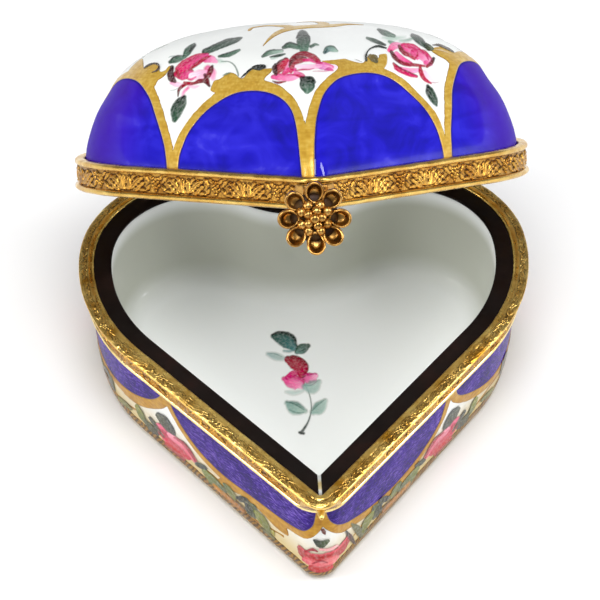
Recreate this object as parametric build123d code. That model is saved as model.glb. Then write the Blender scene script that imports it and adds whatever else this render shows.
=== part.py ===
from build123d import *
import math
import os

# ---------------------------------------------------------------------------
# Heart-shaped hinged porcelain trinket box, millimetres, +Z up.
# Origin: centre of the flat foot, on the resting plane.
# The heart's point faces -Y (front), the hinge is at +Y (back).
# The lid is drawn shut and then turned open about the hinge axis.
# ---------------------------------------------------------------------------

# --- driving dimensions: plan outline of the metal mounts ------------------
HALF_ANGLE = 39.75          # deg, side line against the centre line
R_SHOULDER = 24.08          # outer arc of each lobe
C_SHOULDER = (4.42, 13.33)
R_LOBE = 15.46              # rear arc of each lobe
C_LOBE = (12.99, 14.19)
CLEFT_TURN = 32.0           # deg, how far the lobe arc turns into the cleft
R_TIP = 2.3                 # rounding of the mount at the heart's point
Y_SHARP = -29.65            # where the two side lines would meet

# --- driving dimensions: heights -------------------------------------------
H_RIM = 16.6                # foot to the top of the base mount
H_MOUNT = 3.95              # height of each metal mount
JOINT_GAP = 0.10            # between the two mounts when shut
H_DOME = 16.4               # dome above the lid mount
Z_SEAT = 16.0               # top of the porcelain wall, under the flange
T_FLANGE = 0.35

# --- driving dimensions: insets from the outline ---------------------------
IN_BAND = 0.45              # outer face of the embossed band
IN_BAND_BACK = 1.05         # inner face of the band
IN_PORC = 1.25              # back of the metal and cement against the porcelain
BED = 0.03                  # working gap between cement and porcelain
R_LOW = 4.85                # tip radius of the base mount's lower edge, at inset 0
IN_BEAD = 1.91              # inner edge of the bright top bead
IN_FLANGE = 4.16            # inner edge of the flat flange, and the cavity mouth

# --- driving dimensions: hinge ---------------------------------------------
LID_OPEN = 40.5             # deg open at rest
HINGE_Y = 29.60
HINGE_Z = 17.60
R_BARREL = 1.15
R_PIN = 0.45
R_BORE_RUN = 0.50           # running bore of the lid's knuckle
X_KNUCKLE = 1.80            # half length of the lid's knuckle
KNUCKLE_GAP = 0.10
X_BARREL = 5.60             # half length of the whole barrel

# --- driving dimensions: clasp ---------------------------------------------
CLASP_Z = -0.40             # flower centre against the lid mount's lower edge
R_FLOWER = 4.60
N_PETAL = 8

YC = 4.0                    # dome sections shrink towards this line
SB, CB = math.sin(math.radians(HALF_ANGLE)), math.cos(math.radians(HALF_ANGLE))


def outline(d, rt=0.0, k=1.0, gam=CLEFT_TURN, ha=HALF_ANGLE):
    """Key points of the right half of the heart, inset by d, scaled by k about
    (0, YC), with a tip radius rt, a cleft turn gam and a half angle ha at the point."""
    sb, cb = math.sin(math.radians(ha)), math.cos(math.radians(ha))
    g = math.radians(gam)
    rs, rl = R_SHOULDER - d, R_LOBE - d
    rf = C_LOBE[0] / math.sin(g) - rl
    # straight side touching the shoulder circle
    ysharp = C_SHOULDER[1] - (rs + C_SHOULDER[0] * cb) / sb
    phi = math.atan2(C_LOBE[1] - C_SHOULDER[1], C_LOBE[0] - C_SHOULDER[0])

    def on(c, r, a):                       # a is measured from +X
        return (c[0] + r * math.cos(a), c[1] + r * math.sin(a))

    a0 = -math.radians(ha)
    p = {}
    if rt > 0:
        ct = (0.0, ysharp + rt / sb)
        p["tip"] = (0.0, ct[1] - rt)
        p["side0"] = on(ct, rt, a0)
    else:
        p["tip"] = p["side0"] = (0.0, ysharp)
    p["side1"] = on(C_SHOULDER, rs, a0)
    p["sh_m"] = on(C_SHOULDER, rs, (a0 + phi) / 2)
    p["sh1"] = on(C_SHOULDER, rs, phi)
    a1 = math.pi / 2 + g
    p["lb_m"] = on(C_LOBE, rl, (phi + a1) / 2)
    p["lb1"] = on(C_LOBE, rl, a1)
    yf = C_LOBE[1] + (rl + rf) * math.cos(g)
    p["cleft"] = (0.0, yf - rf)
    return {n: (q[0] * k, YC + (q[1] - YC) * k) for n, q in p.items()}


def heart(d, z=0.0, rt=0.0, k=1.0, gam=CLEFT_TURN, ha=HALF_ANGLE):
    """Closed wire of the heart outline at height z."""
    p = outline(d, rt, k, gam, ha)

    def R(n):
        return Vector(p[n][0], p[n][1], z)

    def L(n):
        return Vector(-p[n][0], p[n][1], z)

    e = []
    if rt > 0:
        e.append(Edge.make_three_point_arc(L("side0"), R("tip"), R("side0")))
    e.append(Edge.make_line(R("side0"), R("side1")))
    e.append(Edge.make_three_point_arc(R("side1"), R("sh_m"), R("sh1")))
    e.append(Edge.make_three_point_arc(R("sh1"), R("lb_m"), R("lb1")))
    e.append(Edge.make_three_point_arc(R("lb1"), R("cleft"), L("lb1")))
    e.append(Edge.make_three_point_arc(L("lb1"), L("lb_m"), L("sh1")))
    e.append(Edge.make_three_point_arc(L("sh1"), L("sh_m"), L("side1")))
    e.append(Edge.make_line(L("side1"), L("side0")))
    return Wire(e)


def tip_r(d):
    return max(R_TIP - d, 0.0) if R_TIP - d > 0.05 else 0.0


def slab(d, z0, z1, rt=None):
    """Heart-shaped plate inset by d from z0 to z1."""
    w = heart(d, z0, tip_r(d) if rt is None else rt)
    return extrude(Face(w), amount=z1 - z0, dir=(0, 0, 1))


def ring(d_out, d_in, z0, z1, rt_out=None, rt_in=None):
    return slab(d_out, z0, z1, rt_out) - slab(d_in, z0, z1, rt_in)


def ring_loft(levels, d_in, rt_in=None, r_out=None):
    """Ring whose outer face is ruled through (z, inset) levels; r_out is the tip
    radius at inset 0 where it is not the mount's own."""
    ws = [heart(d, z, tip_r(d) if r_out is None else r_out - d) for z, d in levels]
    body = Solid.make_loft(ws, ruled=True)
    z0, z1 = levels[0][0], levels[-1][0]
    return Part() + body - slab(d_in, z0 - 0.01, z1 + 0.01, rt_in)


def box(x0, x1, y0, y1, z0, z1):
    return Pos((x0 + x1) / 2, (y0 + y1) / 2, (z0 + z1) / 2) * Box(x1 - x0, y1 - y0, z1 - z0)


def bar_x(r, x0, x1, y=HINGE_Y, z=HINGE_Z):
    """Round bar along X."""
    return Pos((x0 + x1) / 2, y, z) * Rot(0, 90, 0) * Cylinder(r, x1 - x0)


nodes = {}

# ===========================================================================
# BASE
# ===========================================================================
ZB = H_RIM - H_MOUNT                      # lower edge of the base mount

# Porcelain vessel: straight wall inside the mount, slight taper to the foot,
# softened foot edge, and a dished interior with a rounded floor corner.
Z_WALL = 12.0
R_WALL = R_LOW - IN_PORC - BED           # tip radius of the wall inside the mount
FOOT = [(0.0, 3.36, 2.5, 37.9), (0.35, 2.83, 2.3, 37.9), (1.1, 2.51, 2.2, 37.9), (3.5, 2.14, 2.3, 38.3),
        (7.0, 1.78, 2.75, 38.9), (9.5, 1.50, 3.2, 39.3), (Z_WALL, IN_PORC + BED, R_WALL, HALF_ANGLE),
        (13.6, IN_PORC + BED, R_WALL, HALF_ANGLE), (Z_SEAT, IN_PORC + BED, R_WALL, HALF_ANGLE)]
wall = Solid.make_loft([heart(d, z, r, ha=a) for z, d, r, a in FOOT], ruled=False)
FLOOR = 2.3
CAVITY = [(FLOOR, 6.60, 1.3), (FLOOR + 0.35, 5.75, 1.2), (FLOOR + 1.2, 5.15, 1.15),
          (FLOOR + 3.2, 4.80, 1.1), (9.5, 4.45, 1.05), (Z_SEAT, IN_FLANGE, 1.0)]
cavity = Solid.make_loft([heart(d, z, r) for z, d, r in CAVITY], ruled=False)
nodes["base_body"] = (Part() + wall) - cavity

# Metal mount: embossed band, bright beads above and below, flat inner flange
# The base mount leans in towards its lower edge, so its outer faces are lofted
Z_BAND = (ZB + 0.80, H_RIM - 0.85)
IN_BAND_LOW = 0.88          # outer face of the band at its lower edge
IN_BASE_BACK = 1.10         # inner face of the base band
nodes["base_bezel_bottom_bead"] = ring_loft(
    [(ZB, 1.05), (ZB + 0.22, 0.76), (ZB + 0.58, 0.68), (ZB + 0.80, 0.82)], IN_PORC, R_LOW - IN_PORC, R_LOW)


def band_body(extra=0.0):
    """Solid heart under the sloping outer face of the base band, grown by extra."""
    lo, hi = IN_BAND_LOW - extra, IN_BAND - extra
    return Part() + Solid.make_loft([heart(lo, Z_BAND[0], R_LOW - lo), heart(hi, Z_BAND[1], tip_r(hi))], ruled=True)


nodes["base_bezel_band"] = band_body() - slab(IN_BASE_BACK, *Z_BAND, R_LOW - IN_BASE_BACK)
top = ring_loft([(H_RIM - 0.85, 0.30), (H_RIM - 0.62, 0.0), (H_RIM - 0.30, 0.0),
                 (H_RIM - 0.10, 0.15), (H_RIM, 0.55)], IN_BEAD, 0.0)
nodes["base_bezel_top_bead"] = top - slab(IN_PORC, H_RIM - 1.0, Z_SEAT, R_LOW - IN_PORC)
flange = slab(IN_BEAD, Z_SEAT, Z_SEAT + T_FLANGE, 0.0) - slab(IN_FLANGE, Z_SEAT, Z_SEAT + T_FLANGE, 0.0)
nodes["base_rim_flange"] = flange - box(-0.22, 0.22, -30, -20, Z_SEAT - 1, Z_SEAT + 2)
nodes["base_bedding_cement"] = ring(IN_BASE_BACK, IN_PORC, *Z_BAND, R_LOW - IN_BASE_BACK, R_LOW - IN_PORC)

# Plain corner cap over the band at the heart's point, and its catch stud
YT = outline(0.0, R_TIP)["tip"][1]        # front of the mount at the point
T_CAP = 0.29
cap = (band_body(T_CAP) - band_body()) & box(-2.1, 2.1, -31, -25, ZB, H_RIM)
nodes["base_tip_cap"] = cap
ZS = ZB + 1.95
ds = IN_BAND_LOW + (IN_BAND - IN_BAND_LOW) * (ZS - Z_BAND[0]) / (Z_BAND[1] - Z_BAND[0]) - T_CAP
fs = (ZS - Z_BAND[0]) / (Z_BAND[1] - Z_BAND[0])
yb = outline(ds, R_LOW + (R_TIP - R_LOW) * fs - ds)["tip"][1]     # face of the cap at the stud
stud = Pos(0, (yb + 0.25 + YT - 0.42) / 2, ZS) * Rot(90, 0, 0) * Cylinder(0.52, yb + 0.25 - (YT - 0.42))
stud = fillet(stud.edges().sort_by(Axis.Y)[0], 0.22)
nodes["base_catch_stud"] = stud - band_body(T_CAP)

# Hinge, base side: leaf soldered into the cleft and two outer knuckles
RB2 = R_BARREL + 0.15
Z_LEAF = (ZB + 1.0, H_RIM - 0.85)
cleft_y = outline(0.0, R_TIP)["cleft"][1]
leaf = box(-X_BARREL, X_BARREL, 24.0, HINGE_Y - R_BARREL + 0.55, *Z_LEAF)
leaf = leaf - band_body()
nodes["base_hinge_leaf"] = leaf
kn = []
for s in (-1, 1):
    xa, xb = sorted((s * (X_KNUCKLE + KNUCKLE_GAP), s * X_BARREL))
    k1 = bar_x(R_BARREL, xa, xb)
    web = box(xa, xb, HINGE_Y - R_BARREL, HINGE_Y, Z_LEAF[0], HINGE_Z)
    kk = (k1 + web) - bar_x(R_PIN, xa - 1, xb + 1)
    kk = kk - leaf - slab(0.0, 0, H_RIM)
    kn.append(kk)
nodes["base_hinge_knuckles"] = kn[0] + kn[1]
pin = bar_x(R_PIN, -X_BARREL, X_BARREL)
for s in (-1, 1):
    head = Pos(s * (X_BARREL + 0.16), HINGE_Y, HINGE_Z) * Rot(0, 90, 0) * Cylinder(0.72, 0.32)
    head = fillet(head.edges().filter_by(GeomType.CIRCLE).sort_by(Axis.X)[-1 if s > 0 else 0], 0.2)
    pin = pin + head
nodes["hinge_pin"] = pin

# ===========================================================================
# LID, drawn shut
# ===========================================================================
ZL = H_RIM + JOINT_GAP                    # lower edge of the lid mount
ZU = ZL + H_MOUNT                         # upper edge of the lid mount

# Dome sections: (height above the mount, inset, scale, tip radius, cleft turn)
DOME = [(0.0, 1.40, 1.0, 1.9, 32), (3.8, 2.40, 1.0, 2.3, 32), (6.3, 3.50, 1.0, 2.9, 31.5),
        (8.65, 5.15, 1.0, 3.7, 31), (11.0, 5.2, 0.920, 4.8, 30), (12.15, 5.2, 0.850, 5.6, 28),
        (13.4, 5.2, 0.758, 6.8, 26), (14.6, 5.2, 0.618, 8.2, 23), (15.6, 5.2, 0.430, 9.4, 20),
        (16.2, 5.2, 0.225, 10.2, 18), (H_DOME, 5.2, 0.060, 10.6, 18)]
IN_LID = 1.35
SKIRT = [(ZL + T_FLANGE + 0.05 - ZU, IN_LID + BED, 1.0, 1.9, 32),
         (-1.6, IN_LID + BED, 1.0, 1.9, 32)]
outer = Solid.make_loft([heart(d, ZU + h, r, k, g) for h, d, k, r, g in SKIRT + DOME], ruled=False)
# Hollow of the dome: the same sections drawn in and lowered by the wall
HOLLOW = [(-3.55, 4.16, 1.0, 1.0, 32), (0.0, 4.25, 1.0, 1.2, 32), (3.3, 5.05, 1.0, 1.6, 32),
          (5.9, 6.2, 1.0, 2.2, 31), (8.15, 7.55, 0.985, 2.8, 30), (9.9, 7.8, 0.895, 3.6, 29),
          (11.0, 7.8, 0.785, 4.4, 27), (12.15, 7.8, 0.630, 5.4, 24), (13.05, 7.8, 0.425, 6.4, 21),
          (13.6, 7.8, 0.222, 7.0, 19), (13.8, 7.8, 0.070, 7.2, 18)]
hollow = Solid.make_loft([heart(d, ZU + h, r, k, g) for h, d, k, r, g in HOLLOW], ruled=False)
lid_shell = (Part() + outer) - hollow
nodes["lid_shell"] = lid_shell

nodes["lid_bezel_lower_bead"] = ring_loft(
    [(ZL, 0.55), (ZL + 0.12, 0.12), (ZL + 0.45, 0.0), (ZL + 0.80, 0.35)], IN_BEAD, 0.0) \
    - slab(IN_LID, ZL + T_FLANGE + 0.05, ZU, 1.9)
nodes["lid_bezel_band"] = ring(IN_BAND, IN_BAND_BACK, ZL + 0.80, ZU - 0.80)
nodes["lid_bezel_upper_bead"] = ring_loft(
    [(ZU - 0.80, 0.42), (ZU - 0.58, 0.10), (ZU - 0.22, 0.10), (ZU, 0.42)], IN_LID, 1.9)
nodes["lid_rim_flange"] = ring(IN_BEAD, IN_FLANGE, ZL + 0.05, ZL + T_FLANGE + 0.05, 0.0, 0.0)
nodes["lid_bedding_cement"] = ring(IN_BAND_BACK, IN_LID, ZL + 0.80, ZU - 0.80, None, 1.9)

# Hinge, lid side: leaf soldered into the cleft and the centre knuckle
Z_LLEAF = (HINGE_Z - 0.05, ZU - 0.85)
lleaf = box(-X_BARREL + 0.3, X_BARREL - 0.3, 24.0, HINGE_Y - R_BARREL - 0.15, *Z_LLEAF)
lleaf = lleaf - slab(IN_BAND, 0, ZU + 5)
nodes["lid_hinge_leaf"] = lleaf
lk = bar_x(R_BARREL, -X_KNUCKLE, X_KNUCKLE)
lweb = box(-X_KNUCKLE, X_KNUCKLE, HINGE_Y - R_BARREL - 0.15, HINGE_Y, HINGE_Z, HINGE_Z + R_BARREL)
lk = (lk + lweb) - bar_x(R_BORE_RUN, -X_KNUCKLE - 1, X_KNUCKLE + 1)
nodes["lid_hinge_knuckle"] = lk - lleaf

# Clasp: saddle plate on the lid's point, spring tongue, petals, beads, rivet
ZC = ZL + CLASP_Z
Y_PLATE = YT - 0.75                       # front face of the saddle plate
plate = Pos(0, (Y_PLATE + YT + 1.6) / 2, ZL + 1.95) * Box(4.6, YT + 1.6 - Y_PLATE, 2.3)
plate = plate - slab(IN_BAND, 0, ZU + 5)
nodes["clasp_backplate"] = plate
Y_T0 = Y_PLATE - 0.45                     # tongue, 0.45 thick, in front of the plate
tongue = box(-1.55, 1.55, Y_T0, Y_PLATE, ZB + 0.35, ZL + 3.1)
tongue = fillet(tongue.edges().filter_by(Axis.Y), 0.7)
tongue = tongue - Pos(0, Y_PLATE, ZS) * Sphere(0.55)
nodes["clasp_tongue"] = tongue
# Eight cupped petals round a dished centre
Y_F0 = Y_T0                               # back of the flower
petals = Pos(0, Y_F0 - 0.5, ZC) * Rot(90, 0, 0) * Cylinder(2.9, 1.0)
for i in range(N_PETAL):
    a = math.radians(90 + 360 / N_PETAL * i)
    cx, cz = math.cos(a), math.sin(a)
    lobe = Pos(3.22 * cx, Y_F0 - 0.70, ZC + 3.22 * cz) * Sphere(1.36)
    petals = petals + (lobe & box(-8, 8, Y_F0 - 4, Y_F0, ZC - 8, ZC + 8))
for i in range(N_PETAL):
    a = math.radians(90 + 360 / N_PETAL * i)
    cx, cz = math.cos(a), math.sin(a)
    petals = petals - Pos(3.42 * cx, Y_F0 - 2.05, ZC + 3.42 * cz) * Sphere(0.92)
nodes["clasp_petals"] = petals
# Ring of small beads and a central pair
beads = None
Y_B = Y_F0 - 0.9
for i in range(8):
    a = math.radians(360 / 8 * (i + 0.5))
    b = Pos(1.62 * math.cos(a), Y_B - 0.95, ZC + 1.62 * math.sin(a)) * Sphere(0.60)
    beads = b if beads is None else beads + b
for s in (-1, 1):
    beads = beads + Pos(0.42 * s, Y_B - 1.25, ZC) * Sphere(0.66)
boss = Pos(0, Y_F0 - 1.3, ZC) * Rot(90, 0, 0) * Cylinder(1.60, 0.6)
beads = (beads + boss) - petals
nodes["clasp_bead_cluster"] = beads
# Rivet through tongue and saddle plate
rivet = Pos(0, (Y_T0 + Y_PLATE + 0.75) / 2, ZL + 1.95) * Rot(90, 0, 0) * Cylinder(0.40, Y_PLATE + 0.75 - Y_T0)
nodes["clasp_backplate"] = nodes["clasp_backplate"] - rivet
nodes["clasp_tongue"] = nodes["clasp_tongue"] - rivet
nodes["clasp_rivet"] = rivet - slab(IN_BAND, 0, ZU + 5)

# --- turn the lid open ------------------------------------------------------
LID = ["lid_shell", "lid_bezel_lower_bead", "lid_bezel_band", "lid_bezel_upper_bead",
       "lid_rim_flange", "lid_bedding_cement", "lid_hinge_leaf", "lid_hinge_knuckle",
       "clasp_backplate", "clasp_tongue", "clasp_petals", "clasp_bead_cluster", "clasp_rivet"]
hinge = Axis((0, HINGE_Y, HINGE_Z), (-1, 0, 0))
for n in LID:
    nodes[n] = nodes[n].rotate(hinge, LID_OPEN)

os.makedirs("parts", exist_ok=True)
for name, shape in nodes.items():
    sol = shape.solids()
    assert all(q.is_valid for q in sol), name
    out = sol[0] if len(sol) == 1 else Compound(sol)
    out.label = name
    export_step(out, "parts/" + name + ".step")
    bb = out.bounding_box()
    print(f"{name:26s} solids {len(sol)} vol {out.volume:9.2f}  z {bb.min.Z:.2f}..{bb.max.Z:.2f}")
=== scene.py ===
import math
import bpy
import numpy as np
from mathutils import Matrix, Vector


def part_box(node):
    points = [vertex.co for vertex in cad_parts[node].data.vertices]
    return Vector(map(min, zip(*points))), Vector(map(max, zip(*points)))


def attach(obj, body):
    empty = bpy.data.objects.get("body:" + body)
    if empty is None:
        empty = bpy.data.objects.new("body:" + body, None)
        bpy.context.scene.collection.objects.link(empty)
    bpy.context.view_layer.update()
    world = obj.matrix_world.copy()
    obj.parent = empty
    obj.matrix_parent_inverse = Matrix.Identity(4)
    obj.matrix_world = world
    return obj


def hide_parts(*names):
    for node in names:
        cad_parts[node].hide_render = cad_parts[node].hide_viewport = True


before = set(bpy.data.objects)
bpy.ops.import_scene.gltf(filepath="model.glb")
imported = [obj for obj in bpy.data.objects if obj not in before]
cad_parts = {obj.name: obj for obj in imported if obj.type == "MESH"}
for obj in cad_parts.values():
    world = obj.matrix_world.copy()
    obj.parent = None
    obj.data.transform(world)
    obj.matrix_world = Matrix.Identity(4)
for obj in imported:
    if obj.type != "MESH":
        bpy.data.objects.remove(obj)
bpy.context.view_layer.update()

# ---------------------------------------------------------------------------
# Surfaces, in millimetres, lid drawn shut
# ---------------------------------------------------------------------------
A0 = math.radians(39.75)
SB, CB = math.sin(A0), math.cos(A0)
RS, CS = 24.08, (4.42, 13.33)
RL, CL = 15.46, (12.99, 14.19)
YSH, RTIP, YC = -29.65, 2.3, 4.0
H_RIM, H_MT, GAP = 16.6, 3.95, 0.10
ZB, ZL = H_RIM - H_MT, H_RIM + GAP
ZU = ZL + H_MT
HY, HZ, OPEN = 29.60, 17.60, math.radians(40.5)


def half(d, rt=0.0, k=1.0, gam=32.0, n=260, ha=39.75):
    """Right half of the heart outline inset by d: arc length, points, outward normals.
    ha is the half angle at the point."""
    g = math.radians(gam)
    a0 = math.radians(ha)
    sb, cb = math.sin(a0), math.cos(a0)
    rs, rl = RS - d, RL - d
    rf = CL[0] / math.sin(g) - rl
    ys = CS[1] - (rs + CS[0] * cb) / sb
    phi = math.atan2(CL[1] - CS[1], CL[0] - CS[0])
    P, N = [], []

    def arc(c, r, a, b, m, sgn=1.0):
        t = np.linspace(a, b, m)
        P.append(np.stack([c[0] + r * np.cos(t), c[1] + r * np.sin(t)], 1))
        N.append(sgn * np.stack([np.cos(t), np.sin(t)], 1))

    if rt > 0:
        arc((0.0, ys + rt / sb), rt, -math.pi / 2, -a0, n // 3)
        p0 = P[-1][-1]
    else:
        p0 = np.array([0.0, ys])
    p1 = np.array([CS[0] + rs * cb, CS[1] - rs * sb])
    t = np.linspace(0, 1, n)[:, None]
    P.append(p0 + (p1 - p0) * t)
    N.append(np.repeat([[cb, -sb]], n, 0))
    arc(CS, rs, -a0, phi, n)
    arc(CL, rl, phi, math.pi / 2 + g, n)
    yf = CL[1] + (rl + rf) * math.cos(g)
    arc((0.0, yf), rf, -math.pi / 2 + g, -math.pi / 2, n // 2, -1.0)
    P, N = np.vstack(P), np.vstack(N)
    keep = np.r_[True, np.linalg.norm(np.diff(P, axis=0), axis=1) > 1e-9]
    P, N = P[keep], N[keep]
    P = np.stack([P[:, 0] * k, YC + (P[:, 1] - YC) * k], 1)
    s = np.r_[0, np.cumsum(np.linalg.norm(np.diff(P, axis=0), axis=1))]
    return s, P, N


def around(f, d, rt=0.0, k=1.0, gam=32.0, ha=39.75):
    """Points and normals at signed fractions f (0 the point, -1 and 1 the cleft)."""
    s, P, N = half(d, rt, k, gam, ha=ha)
    a = np.abs(f) * s[-1]
    sg = np.where(f < 0, -1.0, 1.0)
    q = np.stack([np.interp(a, s, P[:, 0]) * sg, np.interp(a, s, P[:, 1])], 1)
    m = np.stack([np.interp(a, s, N[:, 0]) * sg, np.interp(a, s, N[:, 1])], 1)
    m /= np.linalg.norm(m, axis=1)[:, None]
    return q, m


def pchip(x, y, xi):
    """Monotone cubic through the table."""
    x, y, xi = np.asarray(x, float), np.asarray(y, float), np.asarray(xi, float)
    h, dl = np.diff(x), np.diff(y) / np.diff(x)
    m = np.zeros(len(x))
    for i in range(1, len(x) - 1):
        if dl[i - 1] * dl[i] > 0:
            w1, w2 = 2 * h[i] + h[i - 1], h[i] + 2 * h[i - 1]
            m[i] = (w1 + w2) / (w1 / dl[i - 1] + w2 / dl[i])
    m[0], m[-1] = dl[0], dl[-1]
    j = np.clip(np.searchsorted(x, xi) - 1, 0, len(x) - 2)
    t = (xi - x[j]) / h[j]
    return ((1 + 2 * t) * (1 - t) ** 2 * y[j] + t * (1 - t) ** 2 * h[j] * m[j]
            + t * t * (3 - 2 * t) * y[j + 1] + t * t * (t - 1) * h[j] * m[j + 1])


def smooth1(a, sig):
    r = int(3 * sig) + 1
    kx = np.exp(-0.5 * (np.arange(-r, r + 1) / sig) ** 2)
    kx /= kx.sum()
    lo = 2 * a[0] - a[r:0:-1]
    hi = 2 * a[-1] - a[-2:-r - 2:-1]
    return np.convolve(np.r_[lo, a, hi], kx, "valid")


class Surf:
    """A porcelain surface swept through heart sections. U runs round it in mm
    (0 at the point), V runs up the profile in mm from the table's first row."""

    def __init__(self, rows, lref, step=0.12, sig=9.0, nu=1200, sign=1.0):
        z, d, k, rt, g, ha = [np.array(c, float) for c in zip(*[tuple(r) + (39.75,) * (6 - len(r)) for r in rows])]
        w = (28.5 - d) * k
        t = np.r_[0, np.cumsum(np.hypot(np.diff(w), np.diff(z)))]
        n = max(8, int(t[-1] / step))
        ti = np.linspace(0, t[-1], n)
        tab = [pchip(t, c, ti) for c in (z, d, k, rt, g, ha)]
        if sig > 0:
            tab = [smooth1(c, sig) for c in tab]
        self.tab = tab
        wi = (28.5 - tab[1]) * tab[2]
        self.v = np.r_[0, np.cumsum(np.hypot(np.diff(wi), np.diff(tab[0])))]
        self.vmax = self.v[-1]
        self.L = lref
        self.f = np.linspace(-1, 1, nu + 1)
        G = []
        for zz, dd, kk, rr, gg, hh in zip(*tab):
            q, _ = around(self.f, dd, max(rr, 0.02), max(kk, 1e-4), gg, hh)
            G.append(np.column_stack([q, np.full(len(q), zz)]))
        self.G = np.array(G)
        # perimeter scale of each row against the reference length
        seg = np.linalg.norm(np.diff(self.G, axis=1), axis=2).sum(1) / 2
        self.ks = seg / lref
        du = np.gradient(self.G, axis=1)
        du[:, 0] = du[:, -1] = (self.G[:, 1] - self.G[:, -2]) / 2
        dv = np.gradient(self.G, axis=0)
        nn = np.cross(du, dv)
        ln = np.linalg.norm(nn, axis=2, keepdims=True)
        nn = nn / np.maximum(ln, 1e-12)
        bad = (ln[..., 0] < 1e-9)
        nn = nn * sign
        nn[bad] = (0, 0, 1)
        self.N = nn

    def at(self, U, V, lift=0.0):
        U, V = np.asarray(U, float), np.asarray(V, float)
        a = (U / self.L + 1) / 2 * (len(self.f) - 1)
        a = np.mod(a, len(self.f) - 1)
        i = np.minimum(np.floor(a).astype(int), len(self.f) - 2)
        fa = a - i
        b = np.interp(V, self.v, np.arange(len(self.v)))
        j = np.minimum(np.floor(b).astype(int), len(self.v) - 2)
        fb = b - j
        fa, fb = fa[..., None], fb[..., None]

        def mix(G):
            return ((G[j, i] * (1 - fa) + G[j, i + 1] * fa) * (1 - fb)
                    + (G[j + 1, i] * (1 - fa) + G[j + 1, i + 1] * fa) * fb)
        P, N = mix(self.G), mix(self.N)
        N = N / np.maximum(np.linalg.norm(N, axis=-1, keepdims=True), 1e-9)
        return P + N * np.asarray(lift)[..., None] if np.ndim(lift) else P + N * lift

    def k(self, V):
        return np.interp(V, self.v, self.ks)


def open_lid(P):
    """Closed-lid millimetres to the resting, open lid."""
    P = np.asarray(P, float)
    y, z = P[..., 1] - HY, P[..., 2] - HZ
    c, s = math.cos(OPEN), math.sin(OPEN)
    out = P.copy()
    out[..., 1] = HY + y * c + z * s
    out[..., 2] = HZ - y * s + z * c
    return out


DOME = [(ZL + 0.40, 1.38, 1.0, 1.9, 32), (ZU - 1.6, 1.38, 1.0, 1.9, 32), (ZU, 1.40, 1.0, 1.9, 32),
        (ZU + 3.8, 2.40, 1.0, 2.3, 32), (ZU + 6.3, 3.50, 1.0, 2.9, 31.5),
        (ZU + 8.65, 5.15, 1.0, 3.7, 31), (ZU + 11.0, 5.2, 0.920, 4.8, 30), (ZU + 12.15, 5.2, 0.850, 5.6, 28),
        (ZU + 13.4, 5.2, 0.758, 6.8, 26), (ZU + 14.6, 5.2, 0.618, 8.2, 23), (ZU + 15.6, 5.2, 0.430, 9.4, 20),
        (ZU + 16.2, 5.2, 0.225, 10.2, 18), (ZU + 16.4, 5.2, 0.0, 10.6, 18)]
HOLLOW = [(ZU - 3.55, 4.18, 1.0, 0.6, 32), (ZU, 4.25, 1.0, 1.2, 32), (ZU + 3.3, 5.05, 1.0, 1.6, 32),
          (ZU + 5.9, 6.2, 1.0, 2.2, 31), (ZU + 8.15, 7.55, 0.985, 2.8, 30), (ZU + 9.9, 7.8, 0.895, 3.6, 29),
          (ZU + 11.0, 7.8, 0.785, 4.4, 27), (ZU + 12.15, 7.8, 0.630, 5.4, 24), (ZU + 13.05, 7.8, 0.425, 6.4, 21),
          (ZU + 13.6, 7.8, 0.222, 7.0, 19), (ZU + 13.8, 7.8, 0.0, 7.2, 18)]
# base wall, listed from the rim downwards so that V grows towards the foot
WALL = [(16.0, 1.28, 1.0, 3.57, 32, 39.75), (13.6, 1.28, 1.0, 3.57, 32, 39.75), (12.0, 1.30, 1.0, 3.55, 32, 39.75),
        (9.5, 1.50, 1.0, 3.2, 32, 39.3), (7.0, 1.78, 1.0, 2.75, 32, 38.9), (3.5, 2.14, 1.0, 2.3, 32, 38.3),
        (1.1, 2.51, 1.0, 2.2, 32, 37.9), (0.35, 2.83, 1.0, 2.3, 32, 37.9), (0.02, 3.36, 1.0, 2.5, 32, 37.9)]
CAVITY = [(16.0, 4.18, 1.0, 0.6, 32), (9.5, 4.45, 1.0, 1.05, 32), (5.5, 4.80, 1.0, 1.1, 32), (3.55, 5.15, 1.0, 1.15, 32),
          (2.70, 5.80, 1.0, 1.2, 32), (2.34, 6.80, 1.0, 1.3, 32), (2.30, 8.2, 1.0, 1.4, 32),
          (2.30, 8.2, 0.60, 1.5, 30), (2.30, 8.2, 0.0, 1.6, 28)]
def rt_of(d):
    """Tip radius of the mounts at inset d: a true offset of the outer face."""
    return max(RTIP - d, 0.12)


def rt_seat(d):
    """As rt_of, meeting the porcelain's own tip radius at its back."""
    return float(np.interp(d, [0.0, 0.95, 1.25], [RTIP, RTIP - 0.95, 2.0]))


def rt_low(d):
    """Tip radius at the base mount's lower edge, which is blunter."""
    return max(4.85 - d, 0.12)


def rt_band(z, d):
    t = min(max((z - ZB - 0.80) / 2.30, 0.0), 1.0)
    return max(4.85 + (RTIP - 4.85) * t - d, 0.12)


def d_band(z):
    """Outer face of the base band, which leans in downwards."""
    return 0.88 + (0.45 - 0.88) * (z - (ZB + 0.80)) / 2.30


L_LID = half(1.40, 1.9)[0][-1]
L_BASE = half(1.28, 2.0)[0][-1]


# ---------------------------------------------------------------------------
# Mesh helpers
# ---------------------------------------------------------------------------
def smoothstep(x, a=0.0, b=1.0):
    t = np.clip((np.asarray(x, float) - a) / (b - a), 0, 1)
    return t * t * (3 - 2 * t)


def lin(c):
    """sRGB 0..255 to linear."""
    c = np.asarray(c, float) / 255.0
    return np.where(c <= 0.04045, c / 12.92, ((c + 0.055) / 1.055) ** 2.4)


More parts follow.
